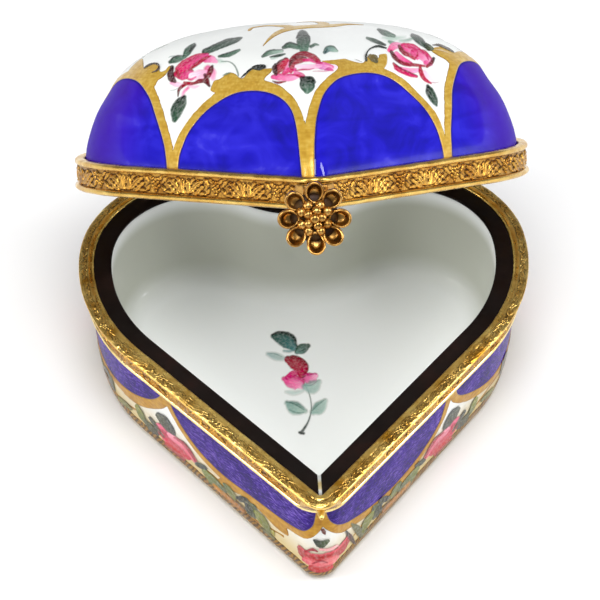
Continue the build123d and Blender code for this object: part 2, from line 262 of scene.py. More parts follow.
def mesh(name, V, F, mat, body, stands=(), fl=None, col=None, lid=False, smooth=True, extra=None, tris=None):
    """V in mm, F quads (n,4), tris (m,3). fl and col are per-vertex attributes."""
    V = np.asarray(V, float)
    if lid:
        V = open_lid(V)
    V = V * 0.001
    parts = []
    if F is not None and len(F):
        parts.append(np.asarray(F, np.int64))
    me = bpy.data.meshes.new(name)
    nq = len(F) if F is not None else 0
    nt = len(tris) if tris is not None else 0
    loops = np.concatenate([np.asarray(F, np.int32).ravel() if nq else np.zeros(0, np.int32),
                            np.asarray(tris, np.int32).ravel() if nt else np.zeros(0, np.int32)])
    starts = np.concatenate([np.arange(nq) * 4, nq * 4 + np.arange(nt) * 3]).astype(np.int32)
    me.vertices.add(len(V))
    me.vertices.foreach_set("co", V.astype(np.float32).ravel())
    me.loops.add(len(loops))
    me.loops.foreach_set("vertex_index", loops)
    me.polygons.add(nq + nt)
    me.polygons.foreach_set("loop_start", starts)
    me.update(calc_edges=True)
    me.validate()
    if smooth:
        me.polygons.foreach_set("use_smooth", np.ones(len(me.polygons), bool))
    for k, a in (fl or {}).items():
        at = me.attributes.new(k, "FLOAT", "POINT")
        at.data.foreach_set("value", np.asarray(a, np.float32).ravel())
    for k, a in (col or {}).items():
        at = me.color_attributes.new(k, "FLOAT_COLOR", "POINT")
        a = np.asarray(a, np.float32)
        if a.shape[1] == 3:
            a = np.column_stack([a, np.ones(len(a), np.float32)])
        at.data.foreach_set("color", a.ravel())
    me.update()
    ob = bpy.data.objects.new(name, me)
    bpy.context.scene.collection.objects.link(ob)
    me.materials.append(mat)
    if body:
        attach(ob, body)
        if stands:
            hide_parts(*stands)
    return ob


def grid_faces(nr, nc, wrap=False, flip=False, off=0):
    r = np.arange(nr - 1)[:, None]
    c = np.arange(nc if wrap else nc - 1)[None, :]
    c2 = (c + 1) % nc if wrap else c + 1
    a = r * nc + c
    b = r * nc + c2
    d = (r + 1) * nc + c2
    e = (r + 1) * nc + c
    F = np.stack(np.broadcast_arrays(a, b, d, e), -1).reshape(-1, 4)
    if flip:
        F = F[:, ::-1]
    return F + off


def sweep(name, prof, mat, body, stands, lid=False, cols=900, rt=0.0, height=None, fl=None, closed=True, rf=None):
    """A ring round the heart. prof: (z, inset) round the section; height(S, T) mm pushes it outward."""
    prof = np.asarray(prof, float)
    n = len(prof)
    f = np.linspace(-1, 1, cols + 1)[:-1]
    V = np.zeros((n, cols, 3))
    for i, (z, d) in enumerate(prof):
        q, m = around(f, d, (rf or rt_of)(d))
        V[i, :, :2] = q
        V[i, :, 2] = z
    if height is not None:
        V = height(V, f)
    if closed:
        F = grid_faces(n + 1, cols, wrap=True) % (n * cols)
    else:
        F = grid_faces(n, cols, wrap=True)
    at = {k: np.asarray(v).ravel() for k, v in (fl or {}).items()}
    return mesh(name, V.reshape(-1, 3), F, mat, body, stands, fl=at, lid=lid)


def arc_prof(pts, n=6):
    """Closed section with Chaikin-rounded corners."""
    P = np.asarray(pts, float)
    for _ in range(n):
        Q = np.roll(P, -1, 0)
        P = np.stack([0.75 * P + 0.25 * Q, 0.25 * P + 0.75 * Q], 1).reshape(-1, 2)
    return P


def noise2(x, y, seed=0):
    """Smooth value noise, -1..1."""
    xi, yi = np.floor(x).astype(np.int64), np.floor(y).astype(np.int64)
    fx, fy = x - xi, y - yi
    fx, fy = fx * fx * (3 - 2 * fx), fy * fy * (3 - 2 * fy)

    def h(a, b):
        v = (a * 374761393 + b * 668265263 + seed * 974634777) & 0xFFFFFFFF
        v = ((v ^ (v >> 13)) * 1274126177) & 0xFFFFFFFF
        return ((v ^ (v >> 16)) & 0xFFFF) / 32767.5 - 1.0
    return ((h(xi, yi) * (1 - fx) + h(xi + 1, yi) * fx) * (1 - fy)
            + (h(xi, yi + 1) * (1 - fx) + h(xi + 1, yi + 1) * fx) * fy)


def fbm(x, y, seed=0, oct=3):
    s, a = 0.0, 1.0
    for i in range(oct):
        s = s + a * noise2(x * 2 ** i, y * 2 ** i, seed + i * 17)
        a *= 0.5
    return s / 1.75


def spline(P, n=10):
    """Catmull-Rom through the points."""
    P = np.asarray(P, float)
    if len(P) == 2:
        t = np.linspace(0, 1, n + 1)[:, None]
        return P[0] + (P[1] - P[0]) * t
    E = np.vstack([2 * P[0] - P[1], P, 2 * P[-1] - P[-2]])
    out = []
    for i in range(1, len(E) - 2):
        p0, p1, p2, p3 = E[i - 1:i + 3]
        t = np.linspace(0, 1, n, endpoint=False)[:, None]
        out.append(0.5 * (2 * p1 + (p2 - p0) * t + (2 * p0 - 5 * p1 + 4 * p2 - p3) * t ** 2
                          + (3 * p1 - 3 * p2 + p3 - p0) * t ** 3))
    out.append(P[-1:])
    return np.vstack(out)


def seg_dist(Q, P, closed=False):
    """Distance from points Q (n,2) to polyline P, with the parameter 0..1 and side along it."""
    A = P
    B = np.roll(P, -1, 0) if closed else P[1:]
    A = A if closed else A[:-1]
    best = np.full(len(Q), 1e9)
    tt = np.zeros(len(Q))
    side = np.ones(len(Q))
    L = np.linalg.norm(B - A, axis=1)
    cum = np.r_[0, np.cumsum(L)]
    for i in range(len(A)):
        ab = B[i] - A[i]
        l2 = ab @ ab
        if l2 < 1e-12:
            continue
        t = np.clip(((Q - A[i]) @ ab) / l2, 0, 1)
        w = Q - (A[i] + t[:, None] * ab)
        d = np.hypot(w[:, 0], w[:, 1])
        m = d < best
        best[m] = d[m]
        tt[m] = (cum[i] + t[m] * L[i]) / cum[-1]
        side[m] = np.sign(ab[0] * w[m, 1] - ab[1] * w[m, 0])
    return best, tt, side


def poly_sdf(Q, P):
    """Signed distance to a closed polygon, positive inside."""
    d, _, _ = seg_dist(Q, P, closed=True)
    x, y = Q[:, 0], Q[:, 1]
    ins = np.zeros(len(Q), bool)
    B = np.roll(P, -1, 0)
    for (x0, y0), (x1, y1) in zip(P, B):
        if y0 == y1:
            continue
        c = ((y0 > y) != (y1 > y)) & (x < (x1 - x0) * (y - y0) / (y1 - y0) + x0)
        ins ^= c
    return np.where(ins, d, -d)


# ---------------------------------------------------------------------------
# Materials: every one is a node tree
# ---------------------------------------------------------------------------
class NT:
    def __init__(self, name):
        self.m = bpy.data.materials.new(name)
        self.m.use_nodes = True
        self.t = self.m.node_tree
        self.t.nodes.clear()
        self.out = self.t.nodes.new("ShaderNodeOutputMaterial")
        self.b = self.t.nodes.new("ShaderNodeBsdfPrincipled")
        self.t.links.new(self.b.outputs[0], self.out.inputs[0])

    def n(self, kind, **kw):
        nd = self.t.nodes.new(kind)
        for k, v in kw.items():
            setattr(nd, k, v)
        return nd

    def l(self, a, b):
        self.t.links.new(a, b)

    def set(self, **kw):
        for k, v in kw.items():
            k = {"ior": "IOR", "coat": "Coat Weight", "coat_r": "Coat Roughness", "spec": "Specular IOR Level",
                 "rough": "Roughness", "metal": "Metallic", "base": "Base Color", "sss": "Subsurface Weight",
                 "sssr": "Subsurface Radius", "ssss": "Subsurface Scale"}.get(k, k)
            s = self.b.inputs[k]
            s.default_value = (*v, 1.0) if k == "Base Color" and len(v) == 3 else v

    def attr(self, name):
        a = self.n("ShaderNodeAttribute")
        a.attribute_name = name
        return a

    def coords(self):
        return self.n("ShaderNodeTexCoord").outputs["Object"]

    def noise(self, scale, detail=3.0, rough=0.5, vec=None, dist=0.0):
        n = self.n("ShaderNodeTexNoise")
        n.inputs["Scale"].default_value = scale
        n.inputs["Detail"].default_value = detail
        n.inputs["Roughness"].default_value = rough
        n.inputs["Distortion"].default_value = dist
        self.l(vec if vec is not None else self.coords(), n.inputs["Vector"])
        return n.outputs["Fac"]

    def scaled(self, sx, sy, sz, vec=None):
        m = self.n("ShaderNodeMapping")
        m.inputs["Scale"].default_value = (sx, sy, sz)
        self.l(vec if vec is not None else self.coords(), m.inputs["Vector"])
        return m.outputs[0]

    def comb(self, x, y):
        c = self.n("ShaderNodeCombineXYZ")
        self.l(x, c.inputs[0])
        self.l(y, c.inputs[1])
        return c.outputs[0]

    def ramp(self, fac, stops):
        r = self.n("ShaderNodeValToRGB")
        e = r.color_ramp.elements
        while len(e) < len(stops):
            e.new(0.5)
        for el, (p, c) in zip(e, stops):
            el.position = p
            el.color = (*c, 1.0) if len(c) == 3 else c
        self.l(fac, r.inputs[0])
        return r.outputs[0]

    def mix(self, f, a, b, mode="MIX"):
        m = self.n("ShaderNodeMix", data_type="RGBA", blend_type=mode)
        for s, v in ((m.inputs[0], f), (m.inputs[6], a), (m.inputs[7], b)):
            if hasattr(v, "is_linked") or hasattr(v, "links"):
                self.l(v, s)
            elif isinstance(v, (int, float)):
                s.default_value = v
            else:
                s.default_value = (*v, 1.0)
        return m.outputs[2]

    def math(self, op, a, b=0.0, c=0.0, clamp=False):
        m = self.n("ShaderNodeMath", operation=op)
        m.use_clamp = clamp
        for s, v in zip(m.inputs, (a, b, c)):
            if isinstance(v, (int, float)):
                s.default_value = v
            else:
                self.l(v, s)
        return m.outputs[0]

    def mapr(self, v, a, b, c=0.0, d=1.0, smooth=True):
        m = self.n("ShaderNodeMapRange")
        m.interpolation_type = "SMOOTHSTEP" if smooth else "LINEAR"
        self.l(v, m.inputs[0])
        for i, x in zip((1, 2, 3, 4), (a, b, c, d)):
            m.inputs[i].default_value = x
        return m.outputs[0]

    def bump(self, h, dist, strength=1.0, normal=None):
        b = self.n("ShaderNodeBump")
        b.inputs["Strength"].default_value = strength
        b.inputs["Distance"].default_value = dist
        self.l(h, b.inputs["Height"])
        if normal is not None:
            self.l(normal, b.inputs["Normal"])
        return b.outputs[0]


WHITE_A, WHITE_B = lin((240, 241, 239)), lin((231, 234, 231))


def glaze(t, white):
    """Common porcelain glaze: faint orange peel, gloss that wanders a little."""
    t.set(metal=0.0, ior=1.5, spec=0.0, coat=0.75, coat_r=0.045)
    t.b.inputs["Coat IOR"].default_value = 1.48
    r = t.mapr(t.noise(260.0, 3.0), 0.3, 0.7, 0.07, 0.15)
    t.l(r, t.b.inputs["Roughness"])
    t.l(t.bump(t.noise(170.0, 2.0), 0.00006, 0.55), t.b.inputs["Normal"])
    t.l(white, t.b.inputs["Base Color"])


def white_of(t):
    w = t.mix(t.noise(55.0, 3.0, 0.55), tuple(WHITE_A), tuple(WHITE_B))
    specks = t.ramp(t.noise(900.0, 2.0), [(0.0, (0.93, 0.92, 0.90)), (0.30, (1, 1, 1)), (1.0, (1, 1, 1))])
    return t.mix(0.35, w, specks, "MULTIPLY")


def mat_porcelain_lid():
    t = NT("porcelain_lid")
    w = white_of(t)
    uv = t.comb(t.attr("U").outputs["Fac"], t.attr("V").outputs["Fac"])
    # cobalt: cloudy, with long lighter streaks along U that are painted reflections
    cl = t.noise(0.16, 3.0, 0.5, t.scaled(0.8, 1.1, 1.0, uv), 1.2)
    mp = t.n("ShaderNodeMapping")
    mp.inputs["Rotation"].default_value = (0, 0, 0.22)
    mp.inputs["Scale"].default_value = (0.16, 0.75, 1.0)
    t.l(uv, mp.inputs["Vector"])
    st = t.noise(0.50, 1.5, 0.4, mp.outputs[0], 0.9)
    m = t.math("MULTIPLY_ADD", st, 0.34, t.math("MULTIPLY", cl, 0.66))
    blue = t.ramp(m, [(0.36, tuple(lin((14, 8, 148)))), (0.48, tuple(lin((24, 16, 180)))),
                      (0.60, tuple(lin((40, 34, 200)))), (0.74, tuple(lin((88, 84, 218))))])
    d = t.attr("blue").outputs["Fac"]
    # towards the sides the enamel turns violet
    vio = t.mapr(t.attr("side").outputs["Fac"], 0.0, 1.0, 0.0, 0.78)
    blue = t.mix(vio, blue, tuple(lin((64, 20, 156))))
    edge = t.mapr(d, 0.10, 0.42)
    blue = t.mix(edge, tuple(lin((20, 10, 120))), blue)
    col = t.mix(t.mapr(d, -0.05, 0.08), w, blue)
    glaze(t, col)
    t.l(t.mapr(t.attr("side").outputs["Fac"], 0.1, 0.9, 0.85, 0.14), t.b.inputs["Coat Weight"])
    return t.m


def mat_porcelain_base():
    t = NT("porcelain_base")
    w = white_of(t)
    uv = t.comb(t.attr("U").outputs["Fac"], t.attr("V").outputs["Fac"])
    # stippled blue: short slanting dabs over a violet ground
    mp = t.n("ShaderNodeMapping")
    mp.inputs["Rotation"].default_value = (0, 0, 0.62)
    mp.inputs["Scale"].default_value = (1.1, 5.2, 1.0)
    t.l(uv, mp.inputs["Vector"])
    n1 = t.noise(1.15, 4.0, 0.62, mp.outputs[0], 0.5)
    n2 = t.noise(0.22, 3.0, 0.5, uv)
    m = t.math("MULTIPLY_ADD", n2, 0.30, t.math("MULTIPLY", n1, 0.70))
    blue = t.ramp(m, [(0.38, tuple(lin((14, 3, 66)))), (0.46, tuple(lin((38, 10, 106)))),
                      (0.53, tuple(lin((56, 22, 136)))), (0.63, tuple(lin((122, 94, 190))))])
    # painted shade and warm reflected light: the ground turns a darker cream towards the foot; the inside stays white
    vv = t.attr("V").outputs["Fac"]
    foot_shade_and_reflection = t.math("MULTIPLY", t.mapr(vv, 3.0, 11.0), t.mapr(vv, 30.0, 50.0, 1.0, 0.0))
    w = t.mix(foot_shade_and_reflection, w, t.mix(t.noise(70.0, 3.0), tuple(lin((218, 198, 146))), tuple(lin((190, 166, 104)))))
    # painted shade: the inside wall is painted grey-green from under the rim down to the floor, unevenly
    darkening = t.math("MULTIPLY", t.mapr(vv, 60.3, 63.0), t.mapr(vv, 70.5, 76.0, 1.0, 0.0))
    # painted light: the inside is painted a brighter white than the outside, standing in for more light inside
    w = t.mix(t.mapr(vv, 58.0, 60.0), w, tuple(lin((247, 249, 248))))
    w = t.mix(t.math("MULTIPLY", darkening, t.mapr(t.noise(24.0, 2.0), 0.25, 0.75, 0.60, 0.95)), w, tuple(lin((186, 188, 172))))
    d = t.attr("blue").outputs["Fac"]
    edge = t.mapr(d, 0.05, 0.35)
    blue = t.mix(edge, tuple(lin((48, 20, 110))), blue)
    col = t.mix(t.mapr(d, -0.05, 0.08), w, blue)
    glaze(t, col)
    t.set(coat=0.45)
    return t.m


def mat_enamel():
    """Painted patches: the porcelain white with the enamel laid over it."""
    t = NT("painted_enamel")
    w = white_of(t)
    p = t.attr("paint")
    a = t.math("MULTIPLY", t.attr("alpha").outputs["Fac"], t.mapr(t.noise(2600.0, 2.0), 0.25, 0.62, 0.86, 1.0), clamp=True)
    col = t.mix(a, w, p.outputs["Color"])
    glaze(t, col)
    return t.m


def mat_gilt(name="painted_gilding", ramp=((184, 138, 36), (204, 162, 56), (222, 190, 92)), coat=0.35):
    """Gold painted on the glaze: satin, a little streaky, brown where it is thin."""
    t = NT(name)
    n = t.math("MULTIPLY_ADD", t.noise(420.0, 4.0, 0.6), 0.45, t.math("MULTIPLY", t.attr("tone").outputs["Fac"], 0.55))
    c = t.ramp(n, [(x, tuple(lin(v))) for x, v in zip((0.22, 0.5, 0.78), ramp)])
    e = t.mapr(t.attr("edge").outputs["Fac"], 0.0, 0.13)
    c = t.mix(e, tuple(lin((128, 84, 26))), c)
    c = t.mix(t.attr("dk").outputs["Fac"], c, tuple(lin((52, 26, 4))))
    t.l(c, t.b.inputs["Base Color"])
    t.set(metal=0.28, spec=0.3, coat=coat, coat_r=0.08)
    t.l(t.mapr(t.noise(700.0, 3.0), 0.3, 0.7, 0.30, 0.50), t.b.inputs["Roughness"])
    t.l(t.bump(t.noise(1500.0, 3.0), 0.00004, 0.6), t.b.inputs["Normal"])
    return t.m


def mat_metal(name, dark, mid, light, r0, r1, cav=True, scratch=(1.0, 1.0, 1.0), bump=0.00004, pat=0.5):
    t = NT(name)
    n = t.noise(330.0, 4.0, 0.6)
    c = t.ramp(n, [(0.3, tuple(lin(mid))), (0.7, tuple(lin(light)))])
    if cav:
        k = t.attr("cav").outputs["Fac"]
        kk = t.math("ADD", k, t.math("MULTIPLY", t.math("SUBTRACT", t.noise(900.0, 3.0), 0.5), 0.5), clamp=True)
        c = t.mix(t.mapr(kk, 0.05, 0.75), tuple(lin(dark)), c)
        r = t.math("MULTIPLY_ADD", t.mapr(kk, 0.0, 0.8, 1.0, 0.0), 0.25, t.mapr(t.noise(520.0, 3.0), 0.3, 0.7, r0, r1))
        t.l(r, t.b.inputs["Roughness"])
        t.l(t.mapr(kk, 0.0, 0.5, pat, 1.0), t.b.inputs["Metallic"])
    else:
        pt = t.mapr(t.noise(150.0, 4.0, 0.65), 0.55, 0.8)
        c = t.mix(t.math("MULTIPLY", pt, 0.6), c, tuple(lin(dark)))
        t.l(t.mapr(t.noise(520.0, 3.0), 0.3, 0.7, r0, r1), t.b.inputs["Roughness"])
        t.set(metal=1.0)
    t.l(c, t.b.inputs["Base Color"])
    t.l(t.bump(t.noise(1100.0, 4.0, 0.6, t.scaled(*scratch)), bump, 0.7), t.b.inputs["Normal"])
    return t.m


def mat_flange():
    t = NT("dark_flange")
    n = t.noise(120.0, 4.0, 0.6)
    c = t.ramp(n, [(0.3, tuple(lin((10, 4, 3)))), (0.55, tuple(lin((22, 10, 7)))), (0.8, tuple(lin((46, 20, 14))))])
    t.l(c, t.b.inputs["Base Color"])
    t.set(metal=0.3, spec=0.2)
    t.l(t.mapr(t.noise(300.0, 3.0), 0.3, 0.7, 0.34, 0.58), t.b.inputs["Roughness"])
    t.l(t.bump(t.noise(800.0, 4.0), 0.00005, 0.8), t.b.inputs["Normal"])
    return t.m


def mat_cement():
    t = NT("bedding_cement")
    n = t.noise(400.0, 5.0, 0.65)
    t.l(t.ramp(n, [(0.3, tuple(lin((186, 178, 158)))), (0.7, tuple(lin((224, 218, 204))))]), t.b.inputs["Base Color"])
    t.l(t.mapr(t.noise(200.0), 0.3, 0.7, 0.75, 0.95), t.b.inputs["Roughness"])
    t.l(t.bump(n, 0.0002, 0.8), t.b.inputs["Normal"])
    return t.m


def mat_floor():
    t = NT("floor")
    n = t.noise(6.0, 3.0)
    t.l(t.mix(n, tuple(lin((244, 244, 243))), tuple(lin((247, 247, 246)))), t.b.inputs["Base Color"])
    t.set(rough=0.75)
    return t.m


M_LID, M_BASE, M_ENAMEL, M_GILT = mat_porcelain_lid(), mat_porcelain_base(), mat_enamel(), mat_gilt()
# painted shade: a darker, less glossy copy of the gilding for the base wall
M_GILT_BASE_SHADED = mat_gilt("painted_gilding_base_shaded", ((160, 106, 12), (190, 138, 28), (212, 168, 56)), 0.16)
M_INNER = M_BASE
M_BEAD = mat_metal("bead_gilt", (96, 56, 14), (202, 152, 62), (238, 204, 116), 0.20, 0.34, pat=0.85)
# painted highlight: a lighter copy of the bead gilt, used for the base's lower bead
M_BEAD_HIGHLIGHT = mat_metal("bead_gilt_painted_highlight", (132, 86, 28), (236, 202, 122), (252, 234, 176), 0.20, 0.32, pat=0.85)
M_BAND = mat_metal("embossed_gilt", (50, 24, 5), (162, 106, 34), (222, 172, 80), 0.20, 0.34, pat=0.75)
M_RIM = mat_metal("chased_rim_gilt", (38, 16, 3), (188, 134, 42), (250, 216, 128), 0.20, 0.34, pat=0.8)
M_ANT = mat_metal("antique_brass", (40, 20, 6), (142, 98, 40), (214, 168, 94), 0.20, 0.34, pat=0.6)
M_HINGE = mat_metal("hinge_brass", (60, 34, 10), (170, 118, 48), (214, 164, 84), 0.22, 0.40, cav=False)
M_FLANGE, M_CEMENT = mat_flange(), mat_cement()


# ---------------------------------------------------------------------------
# Porcelain
# ---------------------------------------------------------------------------
LID = Surf(DOME, L_LID, sig=9.0)
LIN = Surf(HOLLOW, half(4.18, 0.6)[0][-1], sig=6.0, sign=-1.0)
BASE = Surf(WALL, L_BASE, sig=2.5, sign=-1.0)
CAV = Surf(CAVITY, half(4.18, 0.6)[0][-1], sig=3.0)
VL0 = float(np.interp(ZU, LID.tab[0], LID.v))          # V where the dome leaves its mount
VB0 = float(np.interp(-ZB, -BASE.tab[0], BASE.v))      # V where the wall leaves its mount

# Blue fields as outlines (U, V above or below the mount), in mm
LID_BLUE = [
    [(-24.3, -1.0), (-24.2, 0.6), (-23.9, 2.2), (-22.7, 4.8), (-19.6, 7.9), (-15.2, 9.9), (-10.2, 10.5), (-5.8, 10.0),
     (-3.1, 8.6), (-2.1, 6.2), (-1.75, 2.1), (-1.55, -1.0)],
    [(0.0, -1.0), (0.1, 2.0), (0.3, 4.6), (0.9, 7.5), (2.5, 10.4), (6.0, 12.2), (12.0, 12.6), (16.9, 11.8),
     (20.6, 9.8), (23.3, 7.2), (24.9, 4.2), (25.4, 1.2), (25.5, -1.0)],
    [(-26.2, -1.0), (-26.4, 0.8), (-27.4, 3.1), (-29.9, 6.1), (-33.4, 9.0), (-37.2, 10.8), (-41.4, 11.3), (-45.6, 10.8),
     (-49.5, 9.2), (-52.5, 6.6), (-54.3, 3.3), (-54.9, -1.0)],
    [(27.1, -1.0), (27.2, 0.8), (28.1, 3.6), (30.8, 7.4), (34.3, 10.3), (38.0, 11.9), (42.6, 12.1), (47.8, 11.1),
     (52.4, 8.5), (55.2, 4.9), (56.3, 1.6), (56.5, -1.0)],
    [(-56.6, -1.0), (-57.0, 2.2), (-58.8, 5.6), (-62.4, 8.8), (-67.5, 10.6), (-73.0, 10.7), (-78.0, 9.2), (-81.8, 6.2),
     (-83.9, 2.4), (-84.4, -1.0)],
    [(58.1, -1.0), (58.4, 2.2), (59.9, 5.7), (63.2, 8.9), (68.0, 10.9), (73.4, 10.9), (78.3, 9.2), (82.0, 6.0),
     (84.0, 2.4), (84.4, -1.0)],
]
BASE_BLUE = [
    [(-26.8, -1.0), (-26.7, 0.6), (-25.9, 2.4), (-24.6, 4.0), (-22.4, 5.6), (-19.5, 6.4), (-16.5, 6.5), (-11.3, 5.9),
     (-6.3, 5.4), (-2.8, 4.5), (-1.1, 3.0), (-0.6, 1.2), (-0.45, -1.0)],
    [(0.7, -1.0), (0.8, 0.8), (1.6, 2.6), (4.0, 4.6), (7.0, 5.9), (10.5, 6.9), (15.0, 7.5), (19.0, 7.2),
     (22.2, 6.1), (24.3, 4.3), (25.0, 2.0), (25.3, -1.0)],
    [(-28.2, -1.0), (-28.6, 0.7), (-29.9, 2.3), (-32.0, 3.9), (-35.0, 5.3), (-38.6, 6.2), (-42.5, 6.7), (-46.5, 6.3),
     (-50.4, 4.8), (-53.4, 2.4), (-54.9, -1.0)],
    [(27.2, -1.0), (27.5, 1.3), (28.8, 2.9), (31.5, 4.7), (34.5, 6.1), (38.0, 7.0), (42.3, 7.3), (46.5, 6.6),
     (50.6, 5.0), (53.6, 2.4), (54.9, -1.0)],
    [(-57.0, -1.0), (-57.9, 1.4), (-60.4, 3.8), (-64.8, 5.8), (-70.2, 6.4), (-75.4, 5.8), (-79.8, 4.2), (-82.6, 1.8),
     (-84.2, -1.0)],
    [(57.0, -1.0), (57.9, 1.4), (60.4, 3.8), (64.8, 5.8), (70.2, 6.4), (75.4, 5.8), (79.8, 4.2), (82.6, 1.8),
     (84.2, -1.0)],
]
LID_BLUE = [spline(np.array(p), 5) for p in LID_BLUE]
BASE_BLUE = [spline(np.array(p), 5) for p in BASE_BLUE]


def blue_sdf(Q, polys):
    """Nearest field's signed distance; Q in (U, V from the mount)."""
    out = np.full(len(Q), -9.0)
    for P in polys:
        lo, hi = P.min(0) - 4.0, P.max(0) + 4.0
        m = np.all((Q > lo) & (Q < hi), axis=1)
        if m.any():
            out[m] = np.maximum(out[m], poly_sdf(Q[m], P))
    return out


def porcelain(name, mat, body, stands, So, Si, vo, ui_rows, blue, v0, lid):
    """Closed shell of an outer and an inner surface on shared columns."""
    nc = 504
    U = np.linspace(-1, 1, nc + 1)[:-1]
    rows, UA, VA, BA, SA = [], [], [], [], []
    for v in vo:
        rows.append(So.at(U * So.L, np.full(nc, v)))
        q = np.column_stack([U * So.L, np.full(nc, v - v0)])
        UA.append(q[:, 0])
        VA.append(q[:, 1])
        BA.append(blue_sdf(q, blue))
        SA.append(smoothstep(np.abs(U * So.L), 26.0, 44.0))
    no = len(vo)
    for v in ui_rows:
        rows.append(Si.at(U * Si.L, np.full(nc, v)))
        UA.append(U * Si.L)
        VA.append(np.full(nc, v))
        BA.append(np.full(nc, -9.0))
        SA.append(np.zeros(nc))
    R = np.array(rows)
    V = R.reshape(-1, 3)
    n = len(R)
    F = grid_faces(n, nc, wrap=True)
    top = np.array([So.at(0.0, vo[0])[..., :]])
    # caps at both ends of the strip
    c0 = R[0].mean(0)
    c1 = R[-1].mean(0)
    V = np.vstack([V, c0, c1])
    k = np.arange(nc)
    k2 = (k + 1) % nc
    T0 = np.column_stack([np.full(nc, len(V) - 2), k2, k])
    T1 = np.column_stack([np.full(nc, len(V) - 1), (n - 1) * nc + k, (n - 1) * nc + k2])
    fl = {"U": np.r_[np.ravel(UA), 0, 0], "V": np.r_[np.ravel(VA), VA[0][0], 0], "blue": np.r_[np.ravel(BA), -9, -9],
          "side": np.r_[np.ravel(SA), 0, 0]}
    return mesh(name, V, F, mat, body, stands, fl=fl, lid=lid, tris=np.vstack([T0, T1]))


# lid: from the crown down the outside, then up the inside
vo = np.linspace(LID.vmax - 0.05, 0.0, 108)
vi = np.linspace(0.0, LIN.vmax - 0.05, 60)
lid_ob = porcelain("lid_porcelain", M_LID, "lid", ("lid_shell",), LID, LIN, vo, vi, LID_BLUE, VL0, True)

# base: foot with a shallow recess, outer wall up, inner wall down and across the floor
foot_rows = [(0.30, 3.35, 0.0), (0.30, 3.35, 0.40), (0.30, 3.35, 0.80), (0.30, 5.9, 1.0), (0.26, 5.3, 1.0), (0.10, 4.9, 1.0), (0.0, 4.6, 1.0),
             (0.0, 4.1, 1.0), (0.0, 3.6, 1.0)]


def base_porcelain():
    nc = 504
    f = np.linspace(-1, 1, nc + 1)[:-1]
    rows, UA, VA, BA, SA = [], [], [], [], []

    def add(P, u, v, b=None):
        rows.append(P)
        UA.append(u)
        VA.append(np.full(nc, v))
        BA.append(np.full(nc, -9.0) if b is None else b)
        SA.append(smoothstep(np.abs(u), 26, 44))
    for z, d, k in foot_rows[1:]:
        q, _ = around(f, d, 2.5, k, 32.0, 37.9)
        add(np.column_stack([q, np.full(nc, z)]), f * BASE.L, 40.0)
    for v in np.linspace(BASE.vmax, 0.0, 62):
        u = f * BASE.L
        Q = np.column_stack([u, np.full(nc, v - VB0)])
        add(BASE.at(u, np.full(nc, v)), u, v - VB0, blue_sdf(Q, BASE_BLUE))
    for v in np.r_[np.linspace(0.0, 13.0, 34), np.linspace(13.2, CAV.vmax - 0.04, 66)]:
        u = f * CAV.L
        add(CAV.at(u, np.full(nc, v)), u, 60 + v)
    R = np.array(rows)
    n = len(R)
    V = np.vstack([R.reshape(-1, 3), R[0].mean(0), R[-1].mean(0)])
    F = grid_faces(n, nc, wrap=True)
    k = np.arange(nc)
    k2 = (k + 1) % nc
    T0 = np.column_stack([np.full(nc, len(V) - 2), k2, k])
    T1 = np.column_stack([np.full(nc, len(V) - 1), (n - 1) * nc + k, (n - 1) * nc + k2])
    fl = {"U": np.r_[np.ravel(UA), 0, 0], "V": np.r_[np.ravel(VA), 40, 90], "blue": np.r_[np.ravel(BA), -9, -9],
          "side": np.r_[np.ravel(SA), 0, 0]}
    return mesh("base_porcelain", V, F, M_BASE, "base", ("base_body",), fl=fl, tris=np.vstack([T0, T1]))


base_ob = base_porcelain()


# ---------------------------------------------------------------------------
# Patches laid on the glaze
# ---------------------------------------------------------------------------
def patch(name, S, v0, sdf, box, mat, body, lid, h=0.12, lift=0.05, edge=0.12, sink=0.02, vs=1.0, fld=None, colf=None,
          fade=False):
    """Cells of a U,V grid where sdf > 0, edge points drawn on to the outline.
    box: U range, V range (V from the mount). lift: thickness in mm."""
    u = np.arange(box[0], box[1] + h, h)
    v = np.arange(box[2], box[3] + h, h)
    UU, VV = np.meshgrid(u, v)
    kk = S.k(np.clip(v + v0 if vs > 0 else v + v0, 0, S.vmax))[:, None]
    Q = np.column_stack([UU.ravel(), VV.ravel()])
    s = sdf(Q)
    nr, nc = UU.shape
    F = grid_faces(nr, nc)
    keep = (s[F] > 0).any(1)
    F = F[keep]
    used = np.unique(F)
    # draw the outer points in to the contour
    out = used[s[used] <= 0]
    if len(out) and not fade:
        e = 0.03
        for _ in range(2):
            Qo = Q[out]
            s0 = sdf(Qo)
            gx = (sdf(Qo + (e, 0)) - s0) / e
            gy = (sdf(Qo + (0, e)) - s0) / e
            g2 = np.maximum(gx * gx + gy * gy, 0.05)
            st = np.clip(-s0 / g2, -0.01, 1.6 * h)
            Q[out] = Qo + np.stack([gx * st, gy * st], 1)
        s[out] = sdf(Q[out])
    idx = np.full(len(Q), -1)
    idx[used] = np.arange(len(used))
    F = idx[F]
    Qu, su = Q[used], s[used]
    L = lift * np.sqrt(smoothstep(su, 0.0, edge)) - sink * (su < 0.01) if not fade else lift * np.ones(len(su))
    P = S.at(Qu[:, 0], np.clip(Qu[:, 1] + v0, 0, S.vmax), L)
    fl = {"U": Qu[:, 0], "V": Qu[:, 1], "edge": np.clip(su, 0, 5)}
    if fld:
        fl.update(fld(Qu, su))
    col = colf(Qu) if colf else None
    if S is not LID:
        F = F[:, ::-1]
    return mesh(name, P, F, mat, body, fl=fl, col=col, lid=lid), Qu, su


def wob(Q, seed, a=0.08, s=0.9):
    return a * fbm(Q[:, 0] * s, Q[:, 1] * s, seed, 2)


# ---------------------------------------------------------------------------
# Metal mounts
# ---------------------------------------------------------------------------
CELL = 11.16


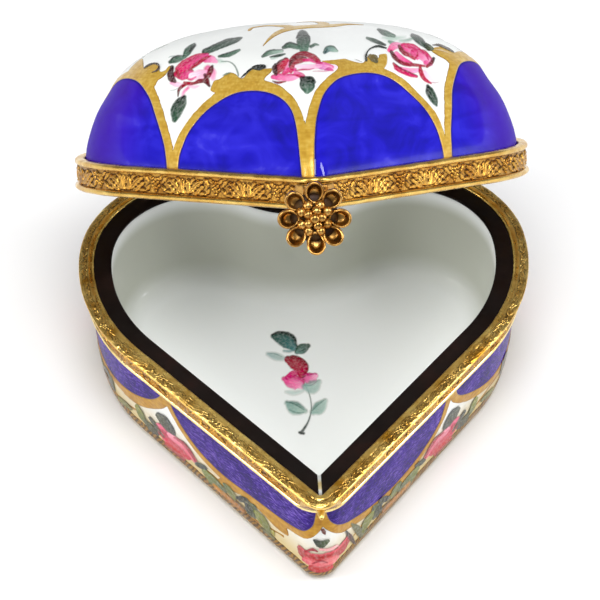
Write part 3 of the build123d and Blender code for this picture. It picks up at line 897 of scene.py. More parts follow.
def motif():
    """One repeat of the embossed band as a height field in mm: a bell flower between
    two sweeping leaves, with a berry cluster at the joins."""
    nx, ny = 372, 70
    x = (np.arange(nx) + 0.5) / nx * CELL - CELL / 2
    y = np.linspace(-1.15, 1.15, ny)
    X, Y = np.meshgrid(x, y)
    Q = np.column_stack([X.ravel(), Y.ravel()])
    H = np.full(len(Q), -0.06) + 0.022 * noise2(Q[:, 0] * 9, Q[:, 1] * 9, 5) + 0.012 * noise2(Q[:, 0] * 21, Q[:, 1] * 21, 6)

    def put(h, m):
        nonlocal H
        H = np.where(m, np.maximum(H, h), H)

    def ball(cx, cy, r, h, rx=1.0, hole=0.0):
        for k in (-1, 0, 1):
            d = np.hypot((Q[:, 0] - cx - k * CELL) / rx, Q[:, 1] - cy) / r
            z = h * np.sqrt(np.clip(1 - d * d, 0, 1))
            if hole:
                z = z - hole * np.exp(-(d / 0.42) ** 2)
            put(z, d < 1)

    def leaf(P, w, h, vein=0.05, lobes=0, ph=0.0, tipw=0.15):
        C = spline(np.array(P, float), 7)
        for k in (-1, 0, 1):
            CC = C + (k * CELL, 0)
            lo, hi = CC.min(0) - w * 1.6, CC.max(0) + w * 1.6
            m = np.all((Q > lo) & (Q < hi), axis=1)
            if not m.any():
                continue
            d, t, sd = seg_dist(Q[m], CC)
            ww = 1.32 * w * (tipw + (1 - tipw) * np.sin(math.pi * np.clip(t, 0, 1) ** 0.75) ** 0.8)
            if lobes:
                ww = ww * (0.80 + 0.20 * np.cos(2 * math.pi * (lobes * t + ph)))
            r = d / ww
            z = h * np.clip(1 - r ** 2.6, 0, 1) ** 0.55
            z = z - vein * np.exp(-(d / 0.055) ** 2)
            if lobes:
                z = z - 0.6 * vein * np.clip(np.sin(2 * math.pi * (lobes * t + 0.35 * r)), 0, 1) ** 3 * (r > 0.15)
            v = np.full(len(Q), -9.0)
            v[m] = np.where(r < 1, z, -9.0)
            put(v, v > -5)
    # bell flower at the middle
    for s in (-1, 1):
        leaf([(s * 0.30, -0.85), (s * 0.72, -0.45), (s * 0.74, 0.25), (s * 0.52, 0.78)], 0.27, 0.27, 0.05)
        leaf([(s * 0.15, -0.9), (s * 0.36, -0.2), (s * 0.28, 0.72)], 0.15, 0.20, 0.0)
        # long acanthus leaf sweeping away and up
        leaf([(s * 0.95, -0.80), (s * 1.35, -0.35), (s * 2.05, 0.20), (s * 3.15, 0.62)], 0.46, 0.25, 0.07, 4, 0.2)
        leaf([(s * 1.25, -0.95), (s * 2.10, -0.72), (s * 2.85, -0.18), (s * 3.45, 0.10)], 0.33, 0.22, 0.06, 3, 0.5)
        leaf([(s * 1.00, 0.15), (s * 1.25, 0.62), (s * 1.80, 0.85)], 0.20, 0.18, 0.03)
        leaf([(s * 2.55, -0.95), (s * 3.20, -0.80), (s * 3.85, -0.92)], 0.17, 0.16, 0.03)
        # stem and leaflets that reach the berries
        leaf([(s * 3.35, 0.85), (s * 3.95, 0.55), (s * 4.35, 0.10)], 0.24, 0.20, 0.04, 2, 0.1)
        leaf([(s * 3.75, -0.75), (s * 4.20, -0.45), (s * 4.55, -0.15)], 0.21, 0.19, 0.04)
        leaf([(s * 4.30, 0.90), (s * 4.70, 0.70), (s * 5.00, 0.40)], 0.17, 0.18, 0.03)
    ball(0, 0.12, 0.34, 0.27, 0.78, 0.16)
    ball(0, -0.62, 0.24, 0.22)
    for a, b, r in ((0, 0, .25), (.40, .22, .21), (-.40, .22, .21), (.24, -.42, .22), (-.24, -.42, .22), (0, .52, .21), (.62, -.22, .18),
                    (-.62, -.22, .18), (.5, .62, .15), (-.5, .62, .15), (0, -.80, .16)):
        ball(CELL / 2 + a, b, r, 0.27, 1.0, 0.03)
    H = H + 0.008 * noise2(Q[:, 0] * 6, Q[:, 1] * 6, 9)
    return H.reshape(ny, nx)


MOTIF = motif()


def patina(H):
    """Where dirt stays: low against the neighbourhood is 0, rubbed high spots are 1."""
    B = H.copy()
    for _ in range(26):
        up, dn = np.vstack([B[:1], B[:-1]]), np.vstack([B[1:], B[-1:]])
        B = (B + np.roll(B, 1, 1) + np.roll(B, -1, 1) + up + dn) / 5
    return np.clip(0.50 + (H - B) * 8.0, 0, 1.1)


WORN = patina(MOTIF)


def motif_at(s, t, shift=0.0, flip=False, MOTIF=MOTIF):
    """Height at s mm along, t 0..1 up the band."""
    ny, nx = MOTIF.shape
    a = ((s + shift) / CELL + 0.5) % 1.0 * nx - 0.5
    if flip:
        a = nx - 1 - a
    b = np.clip(t, 0, 1) * (ny - 1)
    i0 = np.floor(a).astype(int)
    j0 = np.minimum(np.floor(b).astype(int), ny - 2)
    fa, fb = a - i0, b - j0
    i1 = (i0 + 1) % nx
    i0 = i0 % nx
    return ((MOTIF[j0, i0] * (1 - fa) + MOTIF[j0, i1] * fa) * (1 - fb)
            + (MOTIF[j0 + 1, i0] * (1 - fa) + MOTIF[j0 + 1, i1] * fa) * fb)


def band(name, z0, z1, body, stands, lid, shift):
    nc, nr = 2080, 40
    x = np.linspace(-1, 1, nc + 1)[:-1]
    L0 = half(0.45, rt_of(0.45))[0][-1]
    cells = round(2 * L0 / CELL)
    s = x * L0
    sc = cells * CELL / (2 * L0)
    zz = np.linspace(z0, z1, nr)
    V = np.zeros((nr + 3, nc, 3))
    cav = np.zeros((nr + 3, nc))
    for i, z in enumerate(zz):
        t = (z - z0) / (z1 - z0)
        h = motif_at(s * sc, np.full(nc, t), shift)
        # worn down a little, and unevenly
        h = h * (0.86 + 0.14 * noise2(s * 0.35, np.full(nc, t * 2.0), 31))
        e = min(t, 1 - t)
        h = h * smoothstep(e, 0.0, 0.05) - 0.06 * (1 - smoothstep(e, 0, 0.04))
        d0 = 0.45 if lid else d_band(z)
        q, m = around(x, d0, rt_of(d0) if lid else rt_band(z, d0))
        V[i, :, :2] = q + m * h[:, None]
        V[i, :, 2] = z
        cav[i] = motif_at(s * sc, np.full(nc, t), shift, False, WORN)
    for j, (z, d) in enumerate(((z1, 0.80), ((z0 + z1) / 2, 1.05), (z0, 0.80 if lid else 1.08))):
        qq, _ = around(x, d, rt_of(d) if lid else rt_band(z, d))
        V[nr + j, :, :2] = qq
        V[nr + j, :, 2] = z
    F = grid_faces(nr + 4, nc, wrap=True) % ((nr + 3) * nc)
    return mesh(name, V.reshape(-1, 3), F, M_BAND, body, stands, lid=lid, fl={"cav": cav})


band("base_band_embossed", ZB + 0.78, ZB + 3.12, "base", ("base_bezel_band",), False, 2.1)
band("lid_band_embossed", ZL + 0.78, ZU - 0.78, "lid", ("lid_bezel_band",), True, 0.55)


def bead_height(lines, amp, seed, tip=None):
    """Drawn-wire look: fine lines running along, a few dents, hand-finished waviness."""
    def f(V, x):
        n = V.shape[0]
        c = V.mean(0)
        D = V - c
        r = np.linalg.norm(D, axis=2, keepdims=True)
        D = D / np.maximum(r, 1e-9)
        i = np.arange(n)[:, None]
        s = x[None, :] * 88.0
        w = amp * np.cos(2 * math.pi * lines * i / n + 0.5 * np.sin(s * 0.21)) * (0.6 + 0.4 * noise2(s * 0.5 + 0 * i, i * 0.35 + 0 * s, seed))
        w = w + 0.018 * noise2(s * 0.55 + 0 * i, i * 0.12 + 0 * s, seed + 3)
        w = w + 0.006 * noise2(s * 3.1 + 0 * i, i * 0.5 + 0 * s, seed + 4)
        return V + D * w[..., None]
    return f


def bead(name, pts, body, stands, lid, lines=6, amp=0.010, seed=1, mat=None, cols=1000, nround=2, rt=0.0, rf=None):
    P = arc_prof(pts, nround)
    n = len(P)
    cav = np.ones((n, cols))
    # dirt settles where the bead meets its neighbours
    zz = P[:, 0]
    inner = P[:, 1]
    c = smoothstep(1.9 - inner, 0.02, 0.35) * 0.35 + 0.65
    cav *= c[:, None]
    x = np.linspace(-1, 1, cols + 1)[:-1]
    cav *= (0.90 + 0.10 * noise2(x[None, :] * 60 + 0 * cav, np.arange(n)[:, None] * 0.2 + 0 * cav, seed))
    # the drawn lines hold a little dirt
    cav *= 1 - min(14.0 * amp, 0.42) * (0.5 - 0.5 * np.cos(2 * math.pi * lines * np.arange(n)[:, None] / n))
    return sweep(name, P, mat or M_BEAD, body, stands, lid, cols, rt=rt, height=bead_height(lines, amp, seed), fl={"cav": cav},
                 rf=rf)


# the base's lower bead takes the lighter bead gilt as a painted highlight
bead("base_lower_bead", [(ZB, 1.25), (ZB, 1.10), (ZB + 0.03, 0.92), (ZB + 0.22, 0.72), (ZB + 0.56, 0.63), (ZB + 0.78, 0.76),
                         (ZB + 0.80, 1.0), (ZB + 0.80, 1.25)], "base", ("base_bezel_bottom_bead",), False, 5, 0.008, 11,
     rf=rt_low, mat=M_BEAD_HIGHLIGHT)
def rim_height(V, x):
    """The rim's rolled edge: leaves chased into its outer slope, drawn lines along the inner one."""
    Z, C = V[:, :, 2].copy(), V.mean(0)
    D = V - C
    D = D / np.maximum(np.linalg.norm(D, axis=2, keepdims=True), 1e-9)
    w = RIM_W[:, None] * (0.62 * motif_at((x * 88.0)[None, :] + 0 * Z, RIM_T[:, None] + 0 * Z, 1.1) - 0.150)
    w = w + RIM_L[:, None] * (0.5 + 0.5 * noise2((x * 30.0)[None, :] + 0 * Z, RIM_T[:, None] * 2 + 0 * Z, 77))
    w = w + 0.016 * noise2((x * 48.0)[None, :] + 0 * Z, RIM_T[:, None] + 0 * Z, 15)
    return V + D * w[..., None]


RIM = arc_prof([(15.75, 1.25), (15.75, 0.60), (15.75, 0.22), (15.92, 0.0), (16.22, -0.04), (16.44, 0.10), (16.56, 0.42),
                (16.60, 0.75), (16.61, 1.10), (16.60, 1.50), (16.56, 1.78), (16.46, 1.91), (16.30, 1.91), (15.98, 1.91)], 2)
RIM_T = np.clip((RIM[:, 1] + 0.02) / 1.16, 0, 1)
RIM_W = smoothstep(RIM[:, 0], 16.28, 16.45) * (1 - smoothstep(RIM[:, 1], 1.06, 1.14))
RIM_L = 0.030 * np.cos(2 * math.pi * (RIM[:, 1] - 1.2) / 0.24) * smoothstep(RIM[:, 1], 1.10, 1.22) * (RIM[:, 0] > 16.35)
_x = np.linspace(-1, 1, 1701)[:-1]
_c = motif_at((_x * 88.0)[None, :] + 0 * RIM_T[:, None], RIM_T[:, None] + 0 * _x[None, :], 1.1, False, WORN)
_c = 1 + RIM_W[:, None] * (_c - 1.0)
_c = _c * (1 - 0.75 * np.clip(-RIM_L / 0.03, 0, 1)[:, None] * (0.7 + 0.3 * noise2(_x[None, :] * 40 + 0 * _c, RIM_T[:, None] * 3 + 0 * _c, 78)))
sweep("base_upper_bead", RIM, M_RIM, "base", ("base_bezel_top_bead",), False, 1700, height=rim_height, fl={"cav": _c})
bead("lid_lower_bead", [(ZL, 0.75), (ZL + 0.0, 0.50), (ZL + 0.14, 0.12), (ZL + 0.42, -0.02), (ZL + 0.66, 0.08), (ZL + 0.80, 0.36),
                        (ZL + 0.80, 1.0), (ZL + 0.80, 1.91), (ZL + 0.42, 1.91), (ZL, 1.91)],
     "lid", ("lid_bezel_lower_bead",), True, 9, 0.010, 13)
bead("lid_upper_bead", [(ZU - 0.80, 1.30), (ZU - 0.80, 0.62), (ZU - 0.78, 0.30), (ZU - 0.56, 0.08), (ZU - 0.24, 0.08), (ZU - 0.03, 0.30),
                        (ZU, 0.60), (ZU, 1.30)], "lid", ("lid_bezel_upper_bead",), True, 6, 0.009, 14, rf=rt_seat)


def flange(name, z0, z1, body, stands, lid, tip_slit):
    P = arc_prof([(z0, 1.91), (z0, 2.5), (z0, 3.4), (z0, 4.10), (z0 + 0.1, 4.16), (z1 - 0.06, 4.16), (z1, 4.04), (z1, 3.4), (z1, 2.5),
                  (z1, 2.0), (z1 - 0.08, 1.91)], 2)
    n, cols = len(P), 1000
    x = np.linspace(-1, 1, cols + 1)
    V = np.zeros((n, cols + 1, 3))
    for i, (z, d) in enumerate(P):
        q, m = around(x, d, 0.10)
        V[i, :, :2] = q
        V[i, :, 2] = z + 0.012 * noise2(x * 90, np.full(cols + 1, d * 1.3), 41)
    if tip_slit:
        # the ring is open by a saw cut at the point; run it from the cut, round the cleft and back
        a = 0.0
        V = np.zeros((n, cols, 3))
        for i, (z, d) in enumerate(P):
            s, PP, NN = half(d, 0.05)
            # start where the ring is a half cut-width from the mid plane
            k = np.searchsorted(PP[:, 0], 0.22)
            s0 = np.interp(0.22, PP[:k + 2, 0], s[:k + 2]) / s[-1]
            h = np.linspace(s0, 1.0, cols // 2)
            ff = np.r_[h, -h[::-1]]
            q, m = around(ff, d, 0.05)
            V[i, :, :2] = q
            V[i, :, 2] = z + 0.012 * noise2(ff * 90, np.full(cols, d * 1.3), 41)
        F = grid_faces(n + 1, cols) % (n * cols)
        c0, c1 = V[:, 0].mean(0), V[:, -1].mean(0)
        VV = np.vstack([V.reshape(-1, 3), c0, c1])
        i = np.arange(n)
        i2 = (i + 1) % n
        T = np.vstack([np.column_stack([np.full(n, n * cols), i * cols, i2 * cols]),
                       np.column_stack([np.full(n, n * cols + 1), i2 * cols + cols - 1, i * cols + cols - 1])])
        return mesh(name, VV, F, M_FLANGE, body, stands, lid=lid, tris=T)
    V = V[:, :-1]
    F = grid_faces(n + 1, cols, wrap=True) % (n * cols)
    return mesh(name, V.reshape(-1, 3), F, M_FLANGE, body, stands, lid=lid)


flange("base_flange", 16.0, 16.35, "base", ("base_rim_flange",), False, True)
flange("lid_flange", ZL + 0.05, ZL + 0.40, "lid", ("lid_rim_flange",), True, False)
for n_ in ("base_bedding_cement", "lid_bedding_cement"):
    o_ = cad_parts[n_]
    o_.data.materials.clear()
    o_.data.materials.append(M_CEMENT)


# Plain folded cap over the point of the base mount
def tip_cap():
    rows, cols = 40, 90
    L = half(0.45, rt_of(0.45))[0][-1]
    s = np.linspace(-3.05, 3.05, cols)
    zz = np.linspace(ZB + 0.80, ZB + 3.10, rows)
    V = np.zeros((rows, cols, 3))
    for i, z in enumerate(zz):
        t = (z - zz[0]) / (zz[-1] - zz[0])
        e = np.minimum(smoothstep(3.05 - np.abs(s), 0.0, 0.28), smoothstep(min(t, 1 - t), 0, 0.10))
        d = d_band(z) + 0.16 - 0.43 * np.sqrt(e) + 0.012 * noise2(s * 1.3, np.full(cols, t * 3), 51)
        for j in range(cols):
            q, m = around(np.array([s[j] / L]), float(d[j]), rt_band(z, float(d[j])))
            V[i, j] = (q[0, 0], q[0, 1], z)
    cav = np.ones((rows, cols)) * 0.85
    cav[:, :3] = cav[:, -3:] = 0.3
    cav[:2] = cav[-2:] = 0.35
    F = grid_faces(rows, cols)
    # close it behind
    B = V.copy()
    for i in range(rows):
        q, m = around(s / L, d_band(zz[i]) + 0.20, rt_band(zz[i], d_band(zz[i]) + 0.20))
        B[i, :, :2] = q
    n = rows * cols
    Fb = grid_faces(rows, cols, flip=True, off=n)
    ring = np.r_[np.arange(cols), np.arange(1, rows) * cols + cols - 1, (rows - 1) * cols + np.arange(cols - 2, -1, -1), np.arange(rows - 2, 0, -1) * cols]
    r2 = np.roll(ring, -1)
    Fs = np.column_stack([ring, ring + n, r2 + n, r2])
    return mesh("base_tip_cap_sheet", np.vstack([V.reshape(-1, 3), B.reshape(-1, 3)]), np.vstack([F, Fb, Fs]), M_BEAD, "base",
                ("base_tip_cap",), fl={"cav": np.r_[cav.ravel(), cav.ravel()]})


tip_cap()


# ---------------------------------------------------------------------------
# Small turned and pressed parts
# ---------------------------------------------------------------------------
def rbox(lo, hi, r, n=(14, 8, 14), bend=None, seed=0, amp=0.006):
    """Rounded plate as vertices, faces."""
    lo, hi = np.array(lo, float), np.array(hi, float)
    c, hsz = (lo + hi) / 2, (hi - lo) / 2
    V, F, off = [], [], 0
    for ax in range(3):
        for s in (-1, 1):
            a, b = [k for k in range(3) if k != ax]
            ua = np.tanh(np.linspace(-1.6, 1.6, n[a])) / math.tanh(1.6)
            ub = np.tanh(np.linspace(-1.6, 1.6, n[b])) / math.tanh(1.6)
            A, B = np.meshgrid(ua, ub)
            P = np.zeros(A.shape + (3,))
            P[..., a], P[..., b], P[..., ax] = A, B, s
            P = P * hsz
            inner = np.clip(P, -(hsz - r), hsz - r)
            D = P - inner
            ln = np.maximum(np.linalg.norm(D, axis=-1, keepdims=True), 1e-9)
            P = inner + D / ln * r
            V.append((P + c).reshape(-1, 3))
            flip = (s > 0) ^ (ax != 1)
            F.append(grid_faces(n[b], n[a], flip=flip, off=off))
            off += n[a] * n[b]
    V, F = np.vstack(V), np.vstack(F)
    # weld the shared edges
    key = np.round(V, 4)
    uq, inv = np.unique(key, axis=0, return_inverse=True)
    inv = inv.ravel()
    F = inv[F]
    V = uq
    ok = (F[:, 0] != F[:, 1]) & (F[:, 1] != F[:, 2]) & (F[:, 2] != F[:, 3]) & (F[:, 3] != F[:, 0])
    F = F[ok]
    V = V + amp * np.column_stack([noise2(V[:, 0] * 2 + k * 9, V[:, 2] * 2 + V[:, 1], seed + k) for k in range(3)])
    return V, F


def lathe(prof, axis, centre, n=64, groove=None):
    """prof: (position along the axis, radius); a closed turned part."""
    P = np.asarray(prof, float)
    a = np.linspace(0, 2 * math.pi, n, endpoint=False)
    e = np.eye(3)[axis]
    u = np.eye(3)[(axis + 1) % 3]
    v = np.eye(3)[(axis + 2) % 3]
    V = []
    for s, r in P:
        V.append(np.array(centre) + e * s + r * (np.cos(a)[:, None] * u + np.sin(a)[:, None] * v))
    V = np.array(V).reshape(-1, 3)
    F = grid_faces(len(P), n, wrap=True, flip=True)
    return V, F


def merge(parts):
    V, F, off = [], [], 0
    for v, f in parts:
        V.append(v)
        F.append(f + off)
        off += len(v)
    return np.vstack(V), np.vstack(F)


def knuckle_prof(a, b, R, bore, n=9):
    """Outer barrel with eased ends and two turned lines, closed through its bore."""
    e = 0.16
    th = np.linspace(0, math.pi / 2, 6)
    left = [(a + e - e * math.sin(t), R - e + e * math.cos(t)) for t in th][::-1]
    right = [(b - e + e * math.sin(t), R - e + e * math.cos(t)) for t in th]
    mid = []
    for g in np.linspace(a + e + 0.05, b - e - 0.05, 44):
        d = 0.0
        for c in (a + 0.42, b - 0.42):
            d += 0.07 * math.exp(-((g - c) / 0.055) ** 2)
        mid.append((g, R - d))
    outer = [(a, bore)] + left + mid + right + [(b, bore)]
    inner = [(x, bore) for x in np.linspace(b, a, 8)][1:]
    return outer + inner


AX = (0.0, HY, HZ)
parts = [lathe(knuckle_prof(1.95, 5.6, 1.15, 0.46), 0, AX), lathe(knuckle_prof(-5.6, -1.95, 1.15, 0.46), 0, AX)]
V_, F_ = merge(parts)
mesh("base_knuckles_turned", V_, F_, M_HINGE, "base", ("base_hinge_knuckles",))
V_, F_ = lathe(knuckle_prof(-1.8, 1.8, 1.15, 0.49), 0, AX)
mesh("lid_knuckle_turned", V_, F_, M_HINGE, "lid", ("lid_hinge_knuckle",), lid=True)
dome = [(-5.92, 0.001), (-5.915, 0.22), (-5.88, 0.42), (-5.80, 0.60), (-5.70, 0.69), (-5.62, 0.72), (-5.60, 0.70), (-5.60, 0.45)]
V_, F_ = lathe(dome + [(x, 0.45) for x in np.linspace(-5.5, 5.5, 12)] + [(-p, r) for p, r in dome[::-1]], 0, AX, 48)
mesh("hinge_pin_turned", V_, F_, M_HINGE, "base", ("hinge_pin",))
lo_, hi_ = [np.array(v) * 1000 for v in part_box("base_hinge_leaf")]


# Hinge leaves keep the CAD's shape (it follows the cleft), with their arrises eased
for n_ in ("base_hinge_leaf", "lid_hinge_leaf"):
    o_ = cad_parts[n_]
    o_.data.materials.clear()
    o_.data.materials.append(M_HINGE)
    b_ = o_.modifiers.new("ease", "BEVEL")
    b_.width = 0.00012
    b_.segments = 2
    b_.limit_method = "ANGLE"
    b_.angle_limit = math.radians(40)


# Catch stud: turned crown on a short shank, standing on the point of the base mount
def dome_prof(y0, y1, r, n=10):
    t = np.linspace(0, math.pi / 2, n)
    return [(y0, 0.0), (y0, r * 0.78), (y0 - 0.06, r * 0.80)] + [(y0 - 0.08 - (y0 - 0.08 - y1) * math.sin(a), r * math.cos(a)) for a in t]


lo_, hi_ = [np.array(v) * 1000 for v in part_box("base_catch_stud")]
V_, F_ = lathe(dome_prof(hi_[1], lo_[1], (hi_[0] - lo_[0]) / 2), 1, (0, 0, (lo_[2] + hi_[2]) / 2), 40)
mesh("catch_stud_turned", V_, F_, M_BEAD, "base", ("base_catch_stud",), fl={"cav": np.ones(len(V_)) * 0.9})


# ---------------------------------------------------------------------------
# Clasp, in closed-lid millimetres; the flower faces -Y
# ---------------------------------------------------------------------------
FZ, FY, FX = 16.05, -29.55, -0.30
V_, F_ = rbox((-2.3, -29.34, 17.52), (2.3, -28.70, 19.78), 0.22, seed=61)
# the plate is bent round the point of the mount
V_[:, 1] += np.abs(V_[:, 0]) ** 1.15 * 0.98 * (np.abs(V_[:, 0]) > 0)
mesh("clasp_saddle", V_, F_, M_ANT, "lid", ("clasp_backplate",), lid=True, fl={"cav": np.full(len(V_), 0.75)})
V_, F_ = rbox((-1.55, -29.57, 13.0), (1.55, -29.12, 19.8), 0.17, n=(16, 6, 30), seed=62)
V_[:, 0] *= 1.0 - 0.28 * smoothstep(14.6 - V_[:, 2], 0.0, 1.6)
mesh("clasp_tongue_strip", V_, F_, M_ANT, "lid", ("clasp_tongue",), lid=True,
     fl={"cav": 0.55 + 0.3 * noise2(V_[:, 0] * 3, V_[:, 2] * 3, 63)})
V_, F_ = lathe(dome_prof(-29.50, -29.92, 0.40), 1, (0, 0, 18.65), 32)
mesh("clasp_rivet_head", V_, F_, M_ANT, "lid", ("clasp_rivet",), lid=True, fl={"cav": np.full(len(V_), 0.9)})


def frame_of(a):
    """Radial, tangential and outward directions in the flower's plane for the angle a from the top."""
    er = np.array([math.sin(a), 0.0, math.cos(a)])
    et = np.array([math.cos(a), 0.0, -math.sin(a)])
    return er, et, np.array([0.0, -1.0, 0.0])


def petal(a, seed, length=1.0):
    """A scooped petal: a half-round trough closed at its outer end by a rounded hood, thick lip, deep hollow."""
    er, et, en = frame_of(a)
    nu, nv = 46, 40
    C = np.array([FX, FY, FZ])
    # the petal runs from r0 (hidden under the beads) to r1; its section is a cup
    r0, r1 = 1.25, 4.32 * length
    w = 1.17
    U = np.linspace(0, 1, nu)
    TH = np.linspace(0, 2 * math.pi, nv, endpoint=False)
    cx, ax_ = (r0 + r1) / 2 + 0.18, (r1 - r0) / 2 - 0.10
    rows, cav = [], []

    def ell(th, k, dz, skew=0.0):
        # rounded outline, broad at the outer end and narrowing to the centre
        rr = np.cos(th)
        ww = w * (1.0 - 0.24 * smoothstep(-rr, -0.2, 1.0))
        x = cx + ax_ * k * np.sign(rr) * np.abs(rr) ** 0.92
        y = ww * k * np.sign(np.sin(th)) * np.abs(np.sin(th)) ** 0.95
        z = dz + skew * (x - cx)
        return x, y, z
    # from the middle of the back, round the outside, over the lip, down into the hollow
    prof = [(0.02, -0.05), (0.45, -0.04), (0.72, 0.10), (0.90, 0.38), (0.985, 0.74), (1.0, 1.05), (0.985, 1.26), (0.94, 1.38),
            (0.85, 1.42), (0.76, 1.34), (0.69, 1.14), (0.62, 0.90), (0.52, 0.68), (0.38, 0.56), (0.20, 0.50), (0.02, 0.485)]
    pk = np.array([p[0] for p in prof])
    pz = np.array([p[1] for p in prof])
    # painted light and shade along the profile: dull on the back, brightest over the lip, darkest down in the hollow
    cc = np.array([0.3, .4, .6, .8, .9, 1.0, 1.05, 1.1, 1.1, 1.05, 0.85, 0.55, 0.32, 0.20, 0.12, 0.1])
    ti = np.linspace(0, len(prof) - 1, 56)
    pk, pz, cc = (pchip(np.arange(len(prof)), v, ti) for v in (pk, pz, cc))
    V = []
    for k, dz, c in zip(pk, pz, cc):
        x, y, z = ell(TH, k, dz)
        # lip stands highest at the outer end and dips towards the centre
        tilt = 0.42 * smoothstep((x - r0) / (r1 - r0), 0.0, 1.0) - 0.16
        h = z * (0.80 + 0.45 * smoothstep((x - r0) / (r1 - r0), 0.1, 1.0)) + tilt * (dz > 0.2)
        wv = 0.020 * noise2(x * 2.2 + seed * 7, y * 2.2, 70 + seed)
        P = C + er * (x + wv)[:, None] + et * (y + wv)[:, None] + en * (h + 0.10)[:, None]
        V.append(P)
        # painted light and shade: the hollows are painted bright towards the outer end, where light reaches them, and
        # black by the beads, where they lie in shade
        q = smoothstep((x - r0) / (r1 - r0), 0.30, 0.80)
        cav.append(np.clip(c + 0.80 * q * (1 - c) - 0.25 * (1 - q) * (c < 0.9) + 0.10 * noise2(x * 3, y * 3, 80 + seed), 0, 1.1))
    V = np.array(V)
    n = len(V)
    F = grid_faces(n, nv, wrap=True)
    VV = np.vstack([V.reshape(-1, 3), V[0].mean(0), V[-1].mean(0)])
    k = np.arange(nv)
    k2 = (k + 1) % nv
    T = np.vstack([np.column_stack([np.full(nv, n * nv), k2, k]), np.column_stack([np.full(nv, n * nv + 1), (n - 1) * nv + k, (n - 1) * nv + k2])])
    return VV, F, T, np.r_[np.ravel(cav), 0.2, 0.0]


def build_petals():
    Vs, Fs, Ts, Cs, off = [], [], [], [], 0
    for i in range(8):
        a = i * math.pi / 4 + (0.03, -0.02, 0.04, 0.0, -0.03, 0.03, 0.0, -0.04)[i]
        V, F, T, c = petal(a, i, (1.0, 0.99, 1.0, 0.985, 1.0, 0.99, 1.0, 0.985)[i])
        Vs.append(V)
        Fs.append(F + off)
        Ts.append(T + off)
        Cs.append(c)
        off += len(V)
    # backing disc under the scoops
    th = np.linspace(0, 2 * math.pi, 72, endpoint=False)
    prof = [(0.0, 0.02), (2.3, 0.02), (2.75, 0.06), (2.90, 0.22), (2.90, 0.62), (2.72, 0.86), (2.3, 0.98), (1.2, 1.02), (0.0, 1.04)]
    V = np.array([[(FX + r * math.sin(t), FY - h, FZ + r * math.cos(t)) for t in th] for r, h in prof]).reshape(-1, 3)
    F = grid_faces(len(prof), 72, wrap=True)
    Vs.append(V)
    Fs.append(F + off)
    Cs.append(np.full(len(V), 0.12))
    return mesh("clasp_flower_petals", np.vstack(Vs), np.vstack(Fs), M_ANT, "lid", ("clasp_petals",), lid=True,
                fl={"cav": np.concatenate(Cs)}, tris=np.vstack(Ts))


build_petals()


def blob(c, r, seed, n=22, flat=1.0):
    """A cast bead: not quite round, with a pinched foot."""
    ph = np.linspace(0, math.pi, n)
    th = np.linspace(0, 2 * math.pi, 2 * n, endpoint=False)
    PH, TH = np.meshgrid(ph, th, indexing="ij")
    x, y, z = np.sin(PH) * np.cos(TH), -np.cos(PH), np.sin(PH) * np.sin(TH)
    k = r * (1 + 0.055 * noise2(x * 1.7 + seed * 5.1, z * 1.7 + y, 90 + seed) - 0.05 * smoothstep(y, 0.2, 0.9))
    P = np.stack([x * k, y * k * flat, z * k], -1) + np.array(c)
    # painted light and shade: each bead is dark over its back half and brightens towards its front
    front = (-y + 1) / 2
    return P.reshape(-1, 3), grid_faces(n, 2 * n, wrap=True), np.clip(0.08 + 1.15 * smoothstep(front, 0.42, 0.92), 0, 1.1).ravel()


def build_beads():
    Vs, Fs, Cs, off = [], [], [], 0
    spec = []
    for i in range(8):
        a = (i + 0.5) * math.pi / 4 + 0.05 * (-1) ** i
        spec.append((1.66 * math.sin(a), 1.22, 1.66 * math.cos(a), 0.62))
    for i in range(5):
        a = i * 2 * math.pi / 5 + 0.25
        spec.append((0.90 * math.sin(a) + 0.03 * (-1) ** i, 1.64, 0.90 * math.cos(a), 0.58))
    spec += [(0.02, 1.90, -0.02, 0.62)]
    for j, (x, h, z, r) in enumerate(spec):
        V, F, c = blob((FX + x, FY - h, FZ + z), r, j)
        Vs.append(V)
        Fs.append(F + off)
        Cs.append(c)
        off += len(V)
    return mesh("clasp_flower_beads", np.vstack(Vs), np.vstack(Fs), M_ANT, "lid", ("clasp_bead_cluster",), lid=True,
                fl={"cav": np.concatenate(Cs)})


build_beads()


